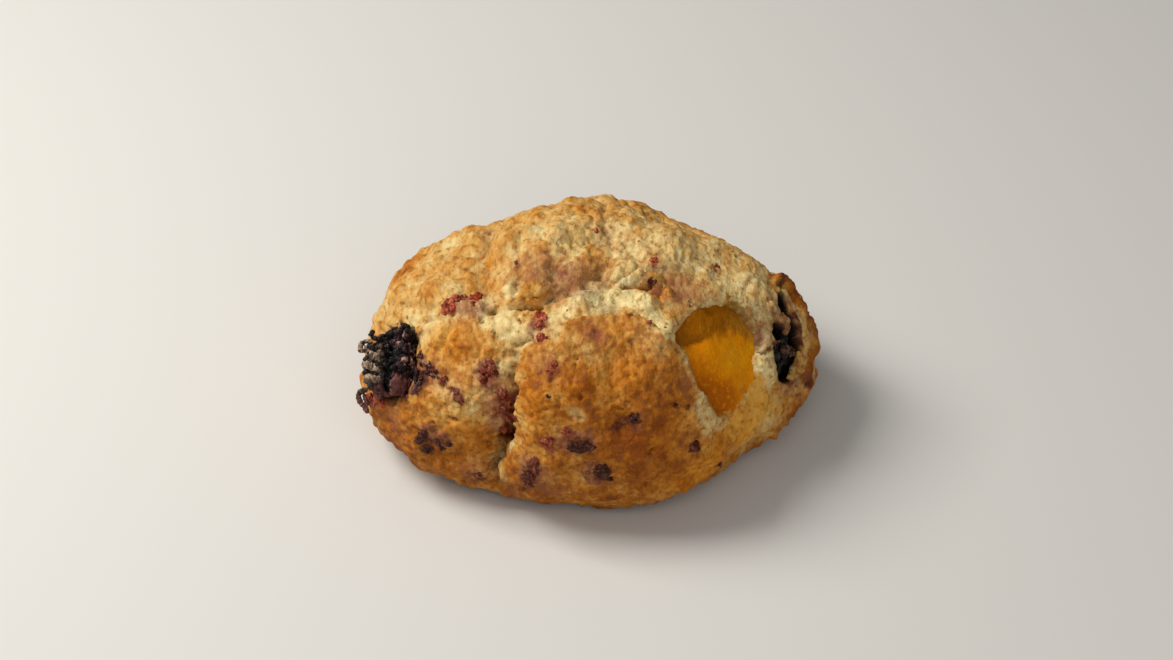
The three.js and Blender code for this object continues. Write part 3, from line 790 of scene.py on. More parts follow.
# Fruit juice in the dough: a pink-brown tint that spreads, and dark spots where a scrap burst. The tint
# at (702, 285), on the slope under the arch, is painted shade.
STAIN_WIDTH = 1.3                    # it always spreads this far round small fruit
STAINS_AND_PAINTED_SHADE = [
    ((528, 262), 6, 0.6), ((560, 272), 6, 0.7), ((575, 290), 5, 0.7), ((600, 272), 5, 0.5),
    ((668, 285), 5, 0.7), ((684, 292), 5, 0.5), ((672, 262), 4, 0.4), ((650, 330), 5, 0.3),
    ((547, 362), 4, 0.5), ((690, 380), 4, 0.5), ((690, 440), 3, 0.4), ((630, 245), 6, 0.4),
    ((702, 285), 4, 0.4), ((454, 299), 3, 0.7), ((476, 300), 3, 0.7), ((470, 295), 3, 0.4),
    ((640, 420), 3, 0.4), ((595, 345), 4, 0.4), ((782, 340), 4, 0.8), ((797, 325), 3.5, 0.9),
    ((785, 385), 4, 0.5), ((803, 375), 2.4, 0.9), ((430, 376), 3, 0.9), ((452, 391), 3, 0.8),
    ((418, 362), 3, 0.8), ((475, 474), 4, 0.8), ((497, 402), 3.5, 1.0), ((503, 425), 3.5, 1.0),
    ((490, 384), 3, 0.8), ((487, 370), 2.6, 0.6), ((461, 303), 2.6, 1.0), ((538, 328), 2.4, 0.8),
    ((390, 412), 4, 0.6), ((400, 440), 5, 0.3), ((530, 472), 3.5, 0.8), ((600, 472), 3, 0.6),
    ((515, 496), 4, 0.6), ((578, 440), 3, 0.6), ((430, 440), 3, 0.6), ((662, 352), 3, 0.3),
    ((758, 330), 4, 0.6), ((465, 215), 4, 0.4), ((755, 310), 3, 0.4), ((545, 488), 5, 0.5),
    ((445, 350), 3, 0.25), ((452, 375), 3, 0.2), ((795, 302), 2.4, 0.9), ((767, 338), 3, 0.8),
    ((486, 226), 2.4, 0.8), ((590, 322), 3, 0.5), ((596, 334), 2, 0.6), ((605, 228), 4, 0.4),
    ((680, 330), 2.6, 0.4), ((805, 395), 3, 0.5), ((650, 270), 3, 0.5), ((555, 440), 3, 0.5),
]
JUICED = [
    ((448, 307), 1.2, 1.0), ((450, 303), 1.1, 0.7), ((476, 299), 1.5, 1.0), ((462, 299), 1.2, 0.5),
    ((540, 313), 1.0, 0.9), ((539, 322), 1.3, 1.1), ((540, 339), 1.2, 1.0), ((489, 369), 1.8, 1.1),
    ((487, 377), 1.3, 0.9), ((490, 388), 1.2, 0.5), ((497, 396), 1.6, 1.0), ((507, 402), 1.5, 1.0),
    ((510, 398), 1.2, 1.0), ((497, 413), 1.3, 0.8), ((509, 420), 1.4, 1.0), ((505, 434), 1.2, 1.1),
    ((503, 422), 1.1, 0.7), ((423, 438), 1.6, 0.9), ((428, 449), 1.2, 0.8), ((443, 445), 1.1, 0.8),
    ((473, 476), 1.8, 0.9), ((482, 482), 1.4, 0.7), ((535, 462), 1.2, 0.9), ((532, 472), 1.2, 0.8),
    ((528, 482), 1.7, 1.0), ((546, 441), 1.5, 1.0), ((551, 450), 1.4, 0.9), ((552, 368), 1.6, 1.0),
    ((551, 377), 1.0, 0.5), ((548, 396), 1.0, 0.8), ((575, 446), 1.4, 1.0), ((583, 446), 1.8, 1.1),
    ((567, 431), 1.3, 0.8), ((569, 436), 1.0, 0.7), ((601, 473), 1.7, 1.0), ((608, 472), 1.2, 0.8),
    ((633, 419), 1.5, 1.1), ((616, 426), 1.5, 0.7), ((622, 422), 1.1, 0.6), ((696, 447), 1.5, 1.1),
    ((655, 260), 1.0, 1.0), ((717, 266), 1.0, 0.9), ((595, 229), 1.0, 0.8), ((652, 281), 1.0, 1.0),
    ((645, 270), 1.1, 0.6), ((631, 311), 1.1, 1.1), ((651, 322), 0.9, 0.8), ((458, 396), 1.5, 1.0),
    ((443, 381), 1.3, 0.8), ((450, 387), 1.0, 0.7), ((430, 368), 1.6, 0.9), ((420, 376), 1.6, 1.0),
    ((417, 340), 1.1, 1.0), ((419, 355), 1.2, 0.8), ((420, 332), 0.9, 0.7), ((396, 333), 1.0, 0.7),
    ((516, 262), 0.9, 0.6), ((562, 264), 1.8, 0.6), ((565, 277), 1.4, 0.4), ((721, 465), 0.9, 0.8),
    ((384, 428), 1.2, 0.6), ((376, 399), 1.9, 1.1), ((368, 402), 1.4, 1.0), ((487, 226), 1.0, 0.7),
    ((560, 405), 0.9, 0.4), ((390, 393), 1.4, 0.9), ((402, 397), 1.3, 0.8), ((412, 388), 1.3, 0.9),
    ((806, 384), 1.3, 0.8), ((797, 313), 1.5, 1.0), ((801, 326), 1.5, 0.9), ((802, 340), 1.4, 0.8),
    ((779, 342), 1.6, 1.1), ((416, 386), 1.6, 0.9),
    ((390, 452), 1.0, 0.7), ((764, 350), 1.0, 0.9), ((771, 346), 0.9, 0.7), ((781, 281), 1.2, 1.0),
    ((737, 252), 0.9, 0.8), ((434, 244), 1.0, 0.8), ((520, 492), 1.2, 0.7), ((676, 405), 0.8, 0.9),
    ((690, 406), 0.8, 0.8), ((672, 392), 0.8, 0.5), ((755, 318), 0.7, 0.7), ((744, 312), 0.7, 0.5),
    ((594, 331), 1.2, 0.6), ((598, 338), 0.9, 0.5), ((630, 338), 0.7, 0.4), ((480, 494), 1.6, 0.7),
]
# Where that juice is of red berries.
REDDENED = [
    ((448, 306), 3.0, 1.0), ((460, 298), 2.4, 1.0), ((476, 299), 3.0, 1.0), ((540, 316), 3.0, 1.0),
    ((541, 338), 2.0, 1.0), ((552, 366), 2.2, 0.7), ((488, 372), 2.6, 0.5), ((502, 398), 3.0, 0.6),
    ((505, 418), 3.0, 0.5), ((549, 445), 2.8, 0.9), ((567, 432), 1.8, 0.8), ((655, 260), 1.4, 1.0),
    ((596, 334), 2.0, 0.7), ((376, 399), 2.6, 0.8), ((563, 265), 2.4, 0.7), ((717, 266), 1.4, 0.8),
]
# Honey-coloured places: juice of the peach in the dough round it, and glazed patches.
GLAZED = [
    ((500, 350), 4, 0.5), ((536, 402), 4, 0.6), ((745, 420), 5, 0.8), ((690, 252), 5, 0.4),
    ((727, 300), 1.6, 0.9), ((731, 291), 1.2, 0.7), ((756, 384), 2.4, 2.0), ((757, 404), 3.6, 1.3),
    ((768, 398), 4, 0.6), ((486, 258), 1.8, 1.2), ((480, 270), 1.6, 0.9), ((482, 282), 1.2, 0.4),
    ((578, 385), 4.5, 0.9), ((628, 380), 5, 0.8), ((645, 450), 6, 0.7), ((585, 488), 5, 0.4),
    ((690, 480), 7, 1.0), ((395, 430), 6, 0.6), ((465, 435), 5, 0.7), ((440, 340), 5, 0.5),
    ((408, 258), 3, 0.8), ((735, 430), 6, 1.0), ((815, 345), 3.6, 0.9), ((375, 330), 3, 0.4),
    ((610, 335), 5, 0.4), ((532, 385), 3.4, 0.7), ((540, 430), 4, 0.5), ((452, 480), 6, 0.5),
    ((520, 220), 3, 0.4), ((664, 288), 1.8, 1.0), ((700, 225), 4, 0.4), ((610, 440), 7, 0.6),
    ((530, 292), 2.4, 0.9), ((500, 281), 1.8, 0.5), ((540, 460), 3, 0.6), ((625, 360), 3, 0.4),
    ((455, 345), 5, 0.5), ((796, 288), 3, 0.6), ((812, 380), 3, 0.6), ((715, 460), 7, 0.6),
    ((405, 278), 4, 0.4), ((428, 395), 4, 0.4), ((670, 425), 6, 0.5), ((785, 405), 4, 0.6),
]


def lumps(points, size, octaves=2, shift=0):
    """Rounded lumps with creases between them, from about 0 in a crease to 0.8."""
    def look(spot):
        return noise.turbulence(spot, octaves, True, amplitude_scale=0.55)
    return sample(look, points, size, shift)


def cells(points, size):
    """Distance from the middle of the nearest grain, in grain sizes."""
    return sample(lambda spot: noise.voronoi(spot)[0][0], points, size)


def height_over(points, tree, reach):
    """How far each point is above a surface, or reach where it is farther off."""
    heights = np.full(len(points), float(reach))
    for i, point in enumerate(points):
        spot, normal, _, gap = tree.find_nearest(point, reach)
        if spot is not None:
            heights[i] = math.copysign(gap, (Vector(point) - spot).dot(normal))
    return heights


# The skin: an even egg of points, finer where the camera looks, drawn onto the solid.
dough_tree = tree_of("dough", "peach_chunk")
small_fruit_tree = tree_of(*SMALL_FRUIT)
bm = bmesh.new()
bmesh.ops.create_icosphere(bm, subdivisions=EGG_CUTS, radius=1)
for vertex in bm.verts:
    vertex.co = EGG_MIDDLE + vertex.co * EGG
bm.normal_update()
shown = {vertex for vertex in bm.verts if vertex.normal.dot(backward) > FINE_BELOW}
bmesh.ops.subdivide_edges(bm, edges=[edge for edge in bm.edges if shown.issuperset(edge.verts)],
                          cuts=1, use_grid_fill=True)
bmesh.ops.triangulate(bm, faces=bm.faces)
for vertex in bm.verts:
    outwards = (vertex.co - BELLY).normalized()
    vertex.co = dough_tree.ray_cast(BELLY + outwards * FAR_OUT, -outwards)[0]
dough_mesh, crust = mesh_from(bm, "dough")

edges = neighbours(dough_mesh)
buried = [small_fruit_tree.find_nearest(point, SOCKET_REACH)[0] is not None for point in crust]
crust = relax(crust, edges, share=1.0, passes=400, free=np.array(buried))
crust = relax(crust, edges, share=0.5, passes=40)
normals = outward(crust, dough_mesh)
facing = normals @ np.array(backward)
across, down = in_picture(crust)

# Big forms first: the crisp edge of the front lobe, folds, ridges and knobs.
on_lobe = depth_inside(crust, facing, FRONT_LOBE)
ragged = waves(crust, (0.35, 2.2, 0), (0.2, 0.9, 3))
low_down = climb(down, *LOBE_FOOT)
leftmost = climb(-across, -LOBE_LEFT[1], -LOBE_LEFT[0])
crisp = climb(on_lobe + ragged * (0.5 + 0.8 * leftmost), -LOBE_LIP / 2, LOBE_LIP / 2)
soft = climb(on_lobe, -LOBE_SOFT / 2, LOBE_SOFT / 2)
lift = LOBE_CRISPING * (crisp - soft) * (1 - low_down) * (1 - 0.4 * leftmost)
for path, width, depth in CRACKS:
    away = distances(crust, trace(path), width * 1.3) / width * 2 * (1 + ragged * CRACK_RAGGED)
    lift -= depth * np.exp(-away ** 2 * CRACK_STEEPNESS)
for path, width, height in RIDGES:
    away = distances(crust, trace(path), width * 1.5) / width * 2
    lift += height * np.exp(-away ** 2 * RIDGE_STEEPNESS)
for place, reach, height in KNOBS:
    lift += height * blob(crust, place, reach / 1.5)
for place, width, depth in PORES:
    lift -= depth * climb(blob(crust, place, width / 2), 0.05, 0.9)

# Then the texture of the crust and of the torn crumb.
torn = np.zeros(len(crust))
for path, reach, bareness in TORN:
    away = distances(crust, trace(path), reach * 2)
    torn = np.maximum(torn, bareness * (1 - climb(away / reach + ragged * 0.9, 0.5, 1.3)))
underside = climb(-normals[:, 2], 0.75, 0.95)
on_front = climb(on_lobe, -1, 3)
slit_depth = np.maximum(depth_inside(crust, facing, SLIT), depth_inside(crust, facing, CAVE))
smooth = np.clip(1 - blobs(crust, SMOOTH), 0.12, 1) * (1 - 0.5 * climb(slit_depth, -SLIT_CALM, 0))
knobby = smooth * (1 - 0.2 * on_front) * (1 - underside) * (1 - 0.5 * torn)
drawn = crust * DRAWN_OUT
swirled = drawn + SWIRL * np.stack([soft_noise(crust, 5, 40 + axis) for axis in range(3)], axis=1)
for size, lump_height, shift in CRUST_LUMPS:
    lift += knobby * lump_height * (lumps(swirled, size, 1, shift) - LUMP_LEVEL)
lift += knobby * GRAIN_HEIGHT * (GRAIN_LEVEL - cells(swirled, GRAIN) ** 2)
lift += between((0.4, 1), knobby) * waves(drawn, (0.14, 1.3, 9), (0.06, 0.8, 2))
lift += torn * TORN_HEIGHT * (lumps(crust, TORN_LUMP, 2, 4) - TORN_LEVEL)
lift += torn * waves(crust, (0.1, 0.9, 2))
pits = climb(soft_noise(crust, PIT, 21), *PIT_WALL) * (1 - underside)
lift -= PIT_DEPTH * pits * (0.3 + 0.4 * knobby + 0.6 * torn)

# It hugs the fruit, thins to a film over the peach and opens at the slit.
hugging = height_over(crust, small_fruit_tree, 3)
lift += HUG_HEIGHT * bell(hugging, HUG_WIDTH)
side = climb(across, *WINDOW_SIDES)
over_peach = height_over(crust, flesh_tree, 6)
on_flesh = crust - normals * np.clip(over_peach, -3, 1)[:, None]
in_window = depth_inside(on_flesh, facing, PEACH_WINDOW)
open_by = (in_window + ragged * between(WINDOW_TATTER, side)) / between(WINDOW_EDGE, side)
opening = climb(open_by - 0.12 * side, -0.35, 0.65)
covering = np.maximum(lift, between(WINDOW_STAND, side) - over_peach)
lift = covering * (1 - opening) + (-WINDOW_SINK - over_peach) * opening
in_slit = climb((slit_depth + ragged * 0.3) / SLIT_EDGE, -0.5, 0.5)
lift -= (SLIT_SINK + np.maximum(lift, 0)) * in_slit

solid = crust
crust = crust + normals * lift[:, None]
low, high = (np.array(corner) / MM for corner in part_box("dough"))
crust[:, 2] = np.maximum(crust[:, 2], 0)
reached = crust.min(0), crust.max(0)
crust = low + (crust - reached[0]) * ((high - low) / (reached[1] - reached[0]))
dough_mesh.vertices.foreach_set("co", crust.ravel())
crust_tree = BVHTree.FromPolygons([Vector(point) for point in crust], corners_of(dough_mesh).tolist())

normals = outward(crust, dough_mesh)
calm = relax(crust, edges, share=0.5, passes=24)
knob = np.clip(((crust - calm) * normals).sum(1) / KNOB_HEIGHT, -1.5, 1.5)
calmer = relax(crust, edges, share=0.5, passes=160)
hollow = np.clip(((calmer - crust) * normals).sum(1) / HOLLOW_DEPTH, 0, 1.5)

height = crust[:, 2] / high[2]
toast = TOAST + FOOT_TOAST * (1 - climb(height, 0.1, 0.7)) + LOBE_TOAST * on_front
toast += blobs(solid, TOASTED) - blobs(solid, PALED)
# browned edges, pale rims with painted highlight, and painted shade deep in the cracks
for path, reach, more in EDGE_TOAST_AND_PAINTED_LIGHT:
    toast += more * bell(distances(solid, trace(path), reach * 2.5), reach)
toast += waves(crust, (0.05, 11, 13), (0.05, 4, 31)) + BASE_TOAST * underside
beside_fruit = bell(hugging, STAIN_WIDTH)
film = climb(in_window + 1 + ragged, -FILM, 0.5) * side
lower_film = climb(down, *FILM_TURNS)
honeyed = climb(in_window + ragged, -HONEYED, 0.5) * side * lower_film
glaze = blobs(solid, GLAZED) + honeyed + climb(in_window, -0.4, 0.6)
store(dough_mesh, toast=toast, crumb=torn, knob=knob, hollow=hollow,
      stain=np.clip(blobs(solid, STAINS_AND_PAINTED_SHADE) + beside_fruit, 0, 1),
      juice=np.clip(blobs(solid, JUICED) + 0.4 * beside_fruit ** 2, 0, 1.1),
      red=np.clip(blobs(solid, REDDENED), 0, 1),
      slit=climb(slit_depth + ragged * 0.3, -0.6, -0.1),
      film=film * (1 - lower_film),
      glaze=np.clip(glaze, 0, 1))

dough_material, tree, shader = new_material("baked_dough")
patches, grains, specks = mottled(tree, 4.0)
browning_and_painted_light = grained(tree, reading(tree, "toast"), patches, 0.55)
browning_and_painted_light = grained(tree, browning_and_painted_light, grains, 0.55)
browning_and_painted_light = sum_of(tree, browning_and_painted_light, reading(tree, "knob"), 0.08)
surface = ramp(tree, browning_and_painted_light, (0.0, "#dccb98"), (0.2, "#d1b274"), (0.4, "#c18d43"),
               (0.6, "#a56112"), (0.8, "#783b06"), (1.0, "#4a2204"))
crumb_paint = mixed(tree, span(tree, grains, 0.35, 0.7), paint("#e6d69c"), paint("#c8ac70"))
surface = mixed(tree, product(tree, reading(tree, "crumb"), 0.9), surface, crumb_paint)
# juice of the peach turns the dough honey-coloured, and browner where it is browned
honey_paint = ramp(tree, browning_and_painted_light, (0.2, "#dc9a20"), (0.5, "#c27608"), (0.8, "#904800"))
surface = tinge(tree, surface, "glaze", honey_paint, grains, 0.8, 0.1, 1.0, most=0.85)
# the film over the peach is a mottled olive brown
surface = tinge(tree, surface, "film", paint("#86601a"), grains, 1.8, 0.1, 0.9, most=0.9)
# juice of berries blushes the dough, and dries to dark or to red spots; the blush also paints shade on
# the slope under the arch
surface = tinge(tree, surface, "stain", paint("#8a5a48"), grains, 1.6, 0.1, 1.0, most=0.62)
dark_paint = mixed(tree, span(tree, specks, 0.35, 0.65), paint("#2a0e08"), paint("#6a2e18"))
dark_paint = mixed(tree, product(tree, reading(tree, "red"), 0.8), dark_paint, paint("#a85434"))
surface = tinge(tree, surface, "juice", dark_paint, grains, 1.4, 0.15, 0.8, most=0.9)
# the oven dots the crust, and little light gets into its hollows
dots =span(tree, sum_of(tree, specks, reading(tree, "knob"), -0.05), 0.63, 0.72, 0.0, 0.55)
surface = mixed(tree, dots, surface, paint("#7a4a22"), "MULTIPLY")
deep = span(tree, reading(tree, "hollow"), 0.2, 1.2, 0.0, 0.75)
surface = mixed(tree, deep, surface, paint("#7d5527"), "MULTIPLY")
# near black where the slit sinks in: the burst bramble's juice, and painted shade deep in the slit
surface = mixed(tree, reading(tree, "slit"), surface, paint("#0d0605"))
rough = span(tree, patches, 0.3, 0.7, 0.5, 0.7)
rough = sum_of(tree, rough, reading(tree, "glaze"), -0.15)
coat(tree, shader, surface, rough, shine=0.14)
let_light_in(shader, (0.0018, 0.0008, 0.0003), scale=0.6)
bumpy(tree, shader, sum_of(tree, grains, specks, 0.6), depth=0.5, strength=0.6)
finish_piece("dough_crust", dough_mesh, dough_material, "dough", "dough")

# ---- Knobs of dough ---------------------------------------------------------------------------
# Knobs of the same dough that stand out from the crust, folded over themselves or half torn off:
# the nodule and the curled lip at the slit, and the folds on the crest and over the crevice.

# A chain of (across, down, radius), then how brown and how stained it is, and how far its middle
# lies under the crust, in radii. One that hangs over a hole is measured from the solid instead.
DOUGH_KNOBS = [
    # the nodule in the lower end of the slit
    ([(800, 355, 1.0), (801, 361, 1.4), (798, 369, 1.5), (791, 377, 1.0)], 0.42, 0.3, 0.7, True),
    ([(799, 364, 1.2), (793, 373, 1.1)], 0.36, 0.3, 0.9, True),
    # the curled lip beside the cave, and the dough that it grows from
    ([(782, 315, 0.7), (786, 321, 0.9), (787, 327, 0.9), (785, 332, 0.7)], 0.3, 1.0, 0.5, True),
    ([(769, 306, 1.3), (773, 311, 1.3), (777, 315, 1.2), (782, 321, 0.9)], 0.3, 0.5, 1.0, True),
    # two folds over the hollow on the crest, and the browned curl
    ([(612, 279, 1.1), (620, 274, 1.6), (628, 268, 1.6), (634, 262, 1.1)], 0.2, 0.1, 0.5, False),
    ([(620, 286, 1.0), (628, 281, 1.4), (636, 276, 1.4), (643, 271, 1.0)], 0.14, 0.1, 0.5, False),
    ([(649, 273, 0.9), (655, 276, 1.3), (661, 281, 1.5), (666, 287, 1.4), (671, 295, 1.0)], 0.5, 0.1,
     0.4, False),
    # the golden knob over the crevice
    ([(522, 298, 1.5), (530, 292, 2.3), (540, 294, 1.9)], 0.48, 0.0, 0.6, False),
    # beside the left bramble
    ([(374, 387, 1.0), (380, 387, 0.9)], 0.35, 0.4, 0.6, False),
]
KNOB_STEP = 0.4                  # between two drops of a chain, in radii
random.seed(7)


def drop(bm, middle, radius, out=Vector((0, 0, 1)), flat=1.0, wrinkle=0.3, cuts=3, **kept):
    """A wrinkled drop, flattened along the way out of the crust. It keeps numbers for its material."""
    layers = bm.verts.layers.float
    layers = {layers.get(name) or layers.new(name): value for name, value in kept.items()}
    made = bmesh.ops.create_icosphere(bm, subdivisions=cuts, radius=1)["verts"]
    turn = out.to_track_quat("Z", "Y")
    shift = Vector([random.uniform(0, 50) for _ in range(3)])
    for vertex in made:
        puckered = vertex.co * 1.3 + shift
        swell = 1 + wrinkle * (noise.noise(puckered) + 0.6 * noise.noise(puckered * 2.3))
        spot = vertex.co * radius * swell
        spot.z *= flat
        vertex.co = Vector(middle) + turn @ spot
        for layer, value in layers.items():
            vertex[layer] = value


bm = bmesh.new()
for chain, browner, pinker, sunk, hanging in DOUGH_KNOBS:
    for start, end in zip(chain, chain[1:]):
        steps = round(math.dist(start, end) * POINT / start[2] / KNOB_STEP)
        for i in range(steps + 1):
            at_x, at_y, radius = (a + (b - a) * i / steps for a, b in zip(start, end))
            spot, out = met(at_x, at_y, crust_tree)
            if hanging:
                spot, out = seen(at_x, at_y), backward
            drop(bm, spot - out * radius * sunk, radius, out, flat=0.9, wrinkle=0.12,
                 toast=browner, stain=pinker, juice=pinker * 0.35)
knobs_mesh, knobs = mesh_from(bm, "dough_knobs")
swell = waves(knobs, (0.3, 1.9, 3), (0.14, 0.8, 5))
knobs += outward(knobs, knobs_mesh) * swell[:, None]
knobs_mesh.vertices.foreach_set("co", knobs.ravel())
finish_piece("dough_knobs", knobs_mesh, dough_material, "dough")

# ---- Left bramble -----------------------------------------------------------------------------
# A whole bramble half sunk in the left end. The oven dried and split it: its left side is a pale
# grey husk, its right side crumpled purple skins, with curled scraps of skin at the edges.

CORE = 0.9                       # the dark flesh under the drupelets, as a share of the whole berry
DRUPELET = (0.5, 1.2)            # smallest and largest radius, in millimetres
DRUPELETS = 420
SKINS = 260
SKINS_FROM = (387, 333)          # the crumpled skins lie between these corners of the picture
SKINS_TO = (420, 394)
FRINGE = [(418, 350), (420, 364), (428, 367), (436, 376), (424, 374), (419, 380), (413, 392), (400, 397)]
FRINGE_SKINS = 45                # and these lie on the crust beside the berry
SPLIT = [(387, 338), (389, 350), (387, 364), (386, 378), (387, 388)]
SPLIT_WIDTH = 1.4
SPLIT_DEPTH = 2.4
HUSK_ENDS = (381, 387)           # across between these the husk ends
PLUM_ABOUT = 396                 # plump skins show across about here, below these
PLUM_BELOW = (368, 376)
PLUM_DRUPELETS = [(390, 382, 1.3), (395, 380, 1.7), (400, 384, 1.5), (403, 379, 1.2), (393, 387, 1.2)]
CURLS = [       # a curl of skin: its path, the crust it stands beside, its thickness and paleness
    ([(378, 339), (373, 338), (371, 334), (374, 331)], (380, 342), 0.5, 0.15),
    ([(384, 342), (387, 336), (390, 334), (392, 339)], (388, 344), 0.65, 0.1),
    ([(371, 342), (366, 341), (361, 344), (360, 351), (365, 351), (368, 347)], (374, 350), 0.55, 0.7),
    ([(406, 340), (408, 333), (407, 327), (403, 325), (401, 331)], (404, 342), 0.6, 0.1),
    ([(404, 336), (405, 330)], (405, 342), 0.35, 1.5),
    ([(411, 342), (415, 336), (420, 333)], (410, 344), 0.45, 0.4),
    ([(410, 338), (413, 331)], (410, 344), 0.4, 0.3),
    ([(397, 340), (396, 334), (399, 331)], (398, 342), 0.4, 0.3),
    ([(413, 368), (417, 371), (415, 378), (417, 384), (413, 392)], (411, 378), 0.5, 0.3),
    ([(366, 390), (361, 391), (358, 395), (360, 402), (364, 407), (368, 412)], (374, 398), 0.6, 0.5),
    ([(364, 396), (367, 402), (366, 408)], (374, 400), 0.45, 0.4),
]
# The husk's folds run across it like a stack of small rolls, some pale and some dark: partly the
# husk's own tones, partly painted highlight and painted shade on the rolls.
HUSK_MIDDLE = (376, 365)
FOLDS = [
    ([(369, 346), (376, 349), (383, 346)], 0.8, 0.4), ([(369, 352), (375, 356), (382, 352)], 1.0, 0.8),
    ([(367, 359), (374, 362), (382, 360)], 0.8, 0.25), ([(367, 365), (374, 368), (381, 364)], 1.0, 0.85),
    ([(367, 372), (374, 374), (382, 371)], 0.8, 0.3), ([(369, 378), (376, 380), (382, 377)], 1.0, 0.9),
    ([(372, 385), (378, 386), (383, 384)], 0.8, 0.5),
]
GOLDEN_ANGLE = math.pi * (3 - math.sqrt(5))


def spread(count):
    """Unit directions spread evenly over a ball."""
    for i in range(count):
        height = 1 - (2 * i + 1) / count
        ring = math.sqrt(1 - height * height)
        yield Vector((ring * math.cos(i * GOLDEN_ANGLE), ring * math.sin(i * GOLDEN_ANGLE), height))


def beside(across, down, like):
    """The point of the picture at (across, down), as far from the camera as the solid at like."""
    depth = (Vector(seen(*like)) - eye).dot(-backward)
    return eye + sight(across, down) * depth


def curl(bm, path, like, thick, paleness, uneven=0.3):
    """A curled scrap of skin: a thin, knobbly roll along a path."""
    for (ax, ay), (bx, by) in zip(path, path[1:]):
        steps = max(2, round(math.hypot(bx - ax, by - ay) * POINT / thick * 1.6))
        for i in range(steps):
            drop(bm, beside(between((ax, bx), i / steps), between((ay, by), i / steps), like),
                 thick * random.uniform(0.75, 1.25), wrinkle=0.5, cuts=2,
                 tint=paleness + random.uniform(-uneven, uneven))


left_tree = tree_of("bramble_left")
low, high = (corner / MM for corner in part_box("bramble_left"))
heart = (low + high) / 2
bm = copy_of("bramble_left", cuts=2)
for vertex in bm.verts:
    vertex.co = heart + (vertex.co - heart) * CORE
for direction in spread(DRUPELETS):
    spot, out = left_tree.ray_cast(heart + direction * FAR_OUT, -direction)[:2]
    if spot is None or dough_tree.ray_cast(spot + out * 0.2, out)[0]:
        continue
    radius = between(DRUPELET, random.random() ** 1.5)
    drop(bm, spot - direction * radius * random.uniform(0.1, 0.9), radius, wrinkle=0.8, cuts=2,
         tint=random.uniform(0, 0.6))
for _ in range(SKINS):
    at_x = random.uniform(SKINS_FROM[0], SKINS_TO[0])
    at_y = random.uniform(SKINS_FROM[1], SKINS_TO[1])
    spot = seen(at_x, at_y, left_tree)
    leaning = Vector([random.uniform(-1, 1) for _ in range(3)])
    if spot:
        drop(bm, spot + backward * random.uniform(-0.5, 0.6), random.uniform(0.5, 1.15),
             (backward + leaning * 0.9).normalized(), flat=random.uniform(0.3, 0.7), wrinkle=0.9,
             cuts=2, tint=random.random() ** 1.5)
fringe = trace(FRINGE)
for _ in range(FRINGE_SKINS):
    leaning = Vector([random.uniform(-1, 1) for _ in range(3)])
    spot, out = crust_tree.find_nearest(Vector(random.choice(fringe)) + leaning * 0.9)[:2]
    drop(bm, spot, random.uniform(0.2, 0.6), (out + leaning * 0.4).normalized(),
         flat=random.uniform(0.2, 0.5), wrinkle=0.9, cuts=2, tint=random.uniform(0.2, 0.9))
for at_x, at_y, radius in PLUM_DRUPELETS:
    drop(bm, seen(at_x, at_y), radius, wrinkle=0.4, tint=random.uniform(0.5, 0.9))
for scrap in CURLS:
    curl(bm, *scrap)
for path, thick, paleness in FOLDS:
    curl(bm, path, HUSK_MIDDLE, thick, paleness, uneven=0.25)
left_mesh, berry = mesh_from(bm, "bramble_left")
split = bell(distances(berry, trace(SPLIT), reach=6), SPLIT_WIDTH)
berry -= split[:, None] * np.array((backward + rightward * -0.4) * SPLIT_DEPTH)
left_mesh.vertices.foreach_set("co", berry.ravel())
out = outward(berry, left_mesh)
x, y = in_picture(berry)
store(left_mesh, husk=climb(-x + 2 * soft_noise(berry, 2, 5), -HUSK_ENDS[1], -HUSK_ENDS[0]),
      plum=climb(y - abs(x - PLUM_ABOUT) * 0.7, *PLUM_BELOW),
      split=split, crest=out @ np.array(upward))

husk_material, tree, shader = new_material("dried_bramble")
patches, grains, _ = mottled(tree, 2.0)
tone = grained(tree, reading(tree, "tint"), grains, 1.4)
# painted light and shade: skin that faces upwards is paler, skin that faces down darker
tone = sum_of(tree, tone, reading(tree, "crest"), 0.12)
berry_paint = ramp(tree, tone, (0.05, "#080202"), (0.4, "#1e0d0d"), (0.65, "#3c1c1b"), (0.85, "#6c3c38"),
                   (1.0, "#a67c70"))
husk_paint = ramp(tree, tone, (0.05, "#0b0503"), (0.4, "#291c14"), (0.7, "#66503f"), (1.0, "#b49b82"))
surface = mixed(tree, reading(tree, "husk"), berry_paint, husk_paint)
surface = mixed(tree, product(tree, reading(tree, "plum"), 0.6), surface, paint("#7c4844"))
# painted shade: the split is darkened almost to black, over the husk's edge as well
surface = mixed(tree, span(tree, reading(tree, "split"), 0.15, 0.5), surface, paint("#050303"))
coat(tree, shader, surface, span(tree, patches, 0.3, 0.7, 0.3, 0.55), shine=0.26)
bumpy(tree, shader, grains, 0.6)
finish_piece("bramble_left", left_mesh, husk_material, "bramble_left", "bramble_left")

# ---- Right bramble ----------------------------------------------------------------------------
# The other bramble burst in the slit of the right end and shrank to a crooked strip of black, wet
# pulp deep in it, with a ledge of half dried skins that still holds on to the slit's wall.

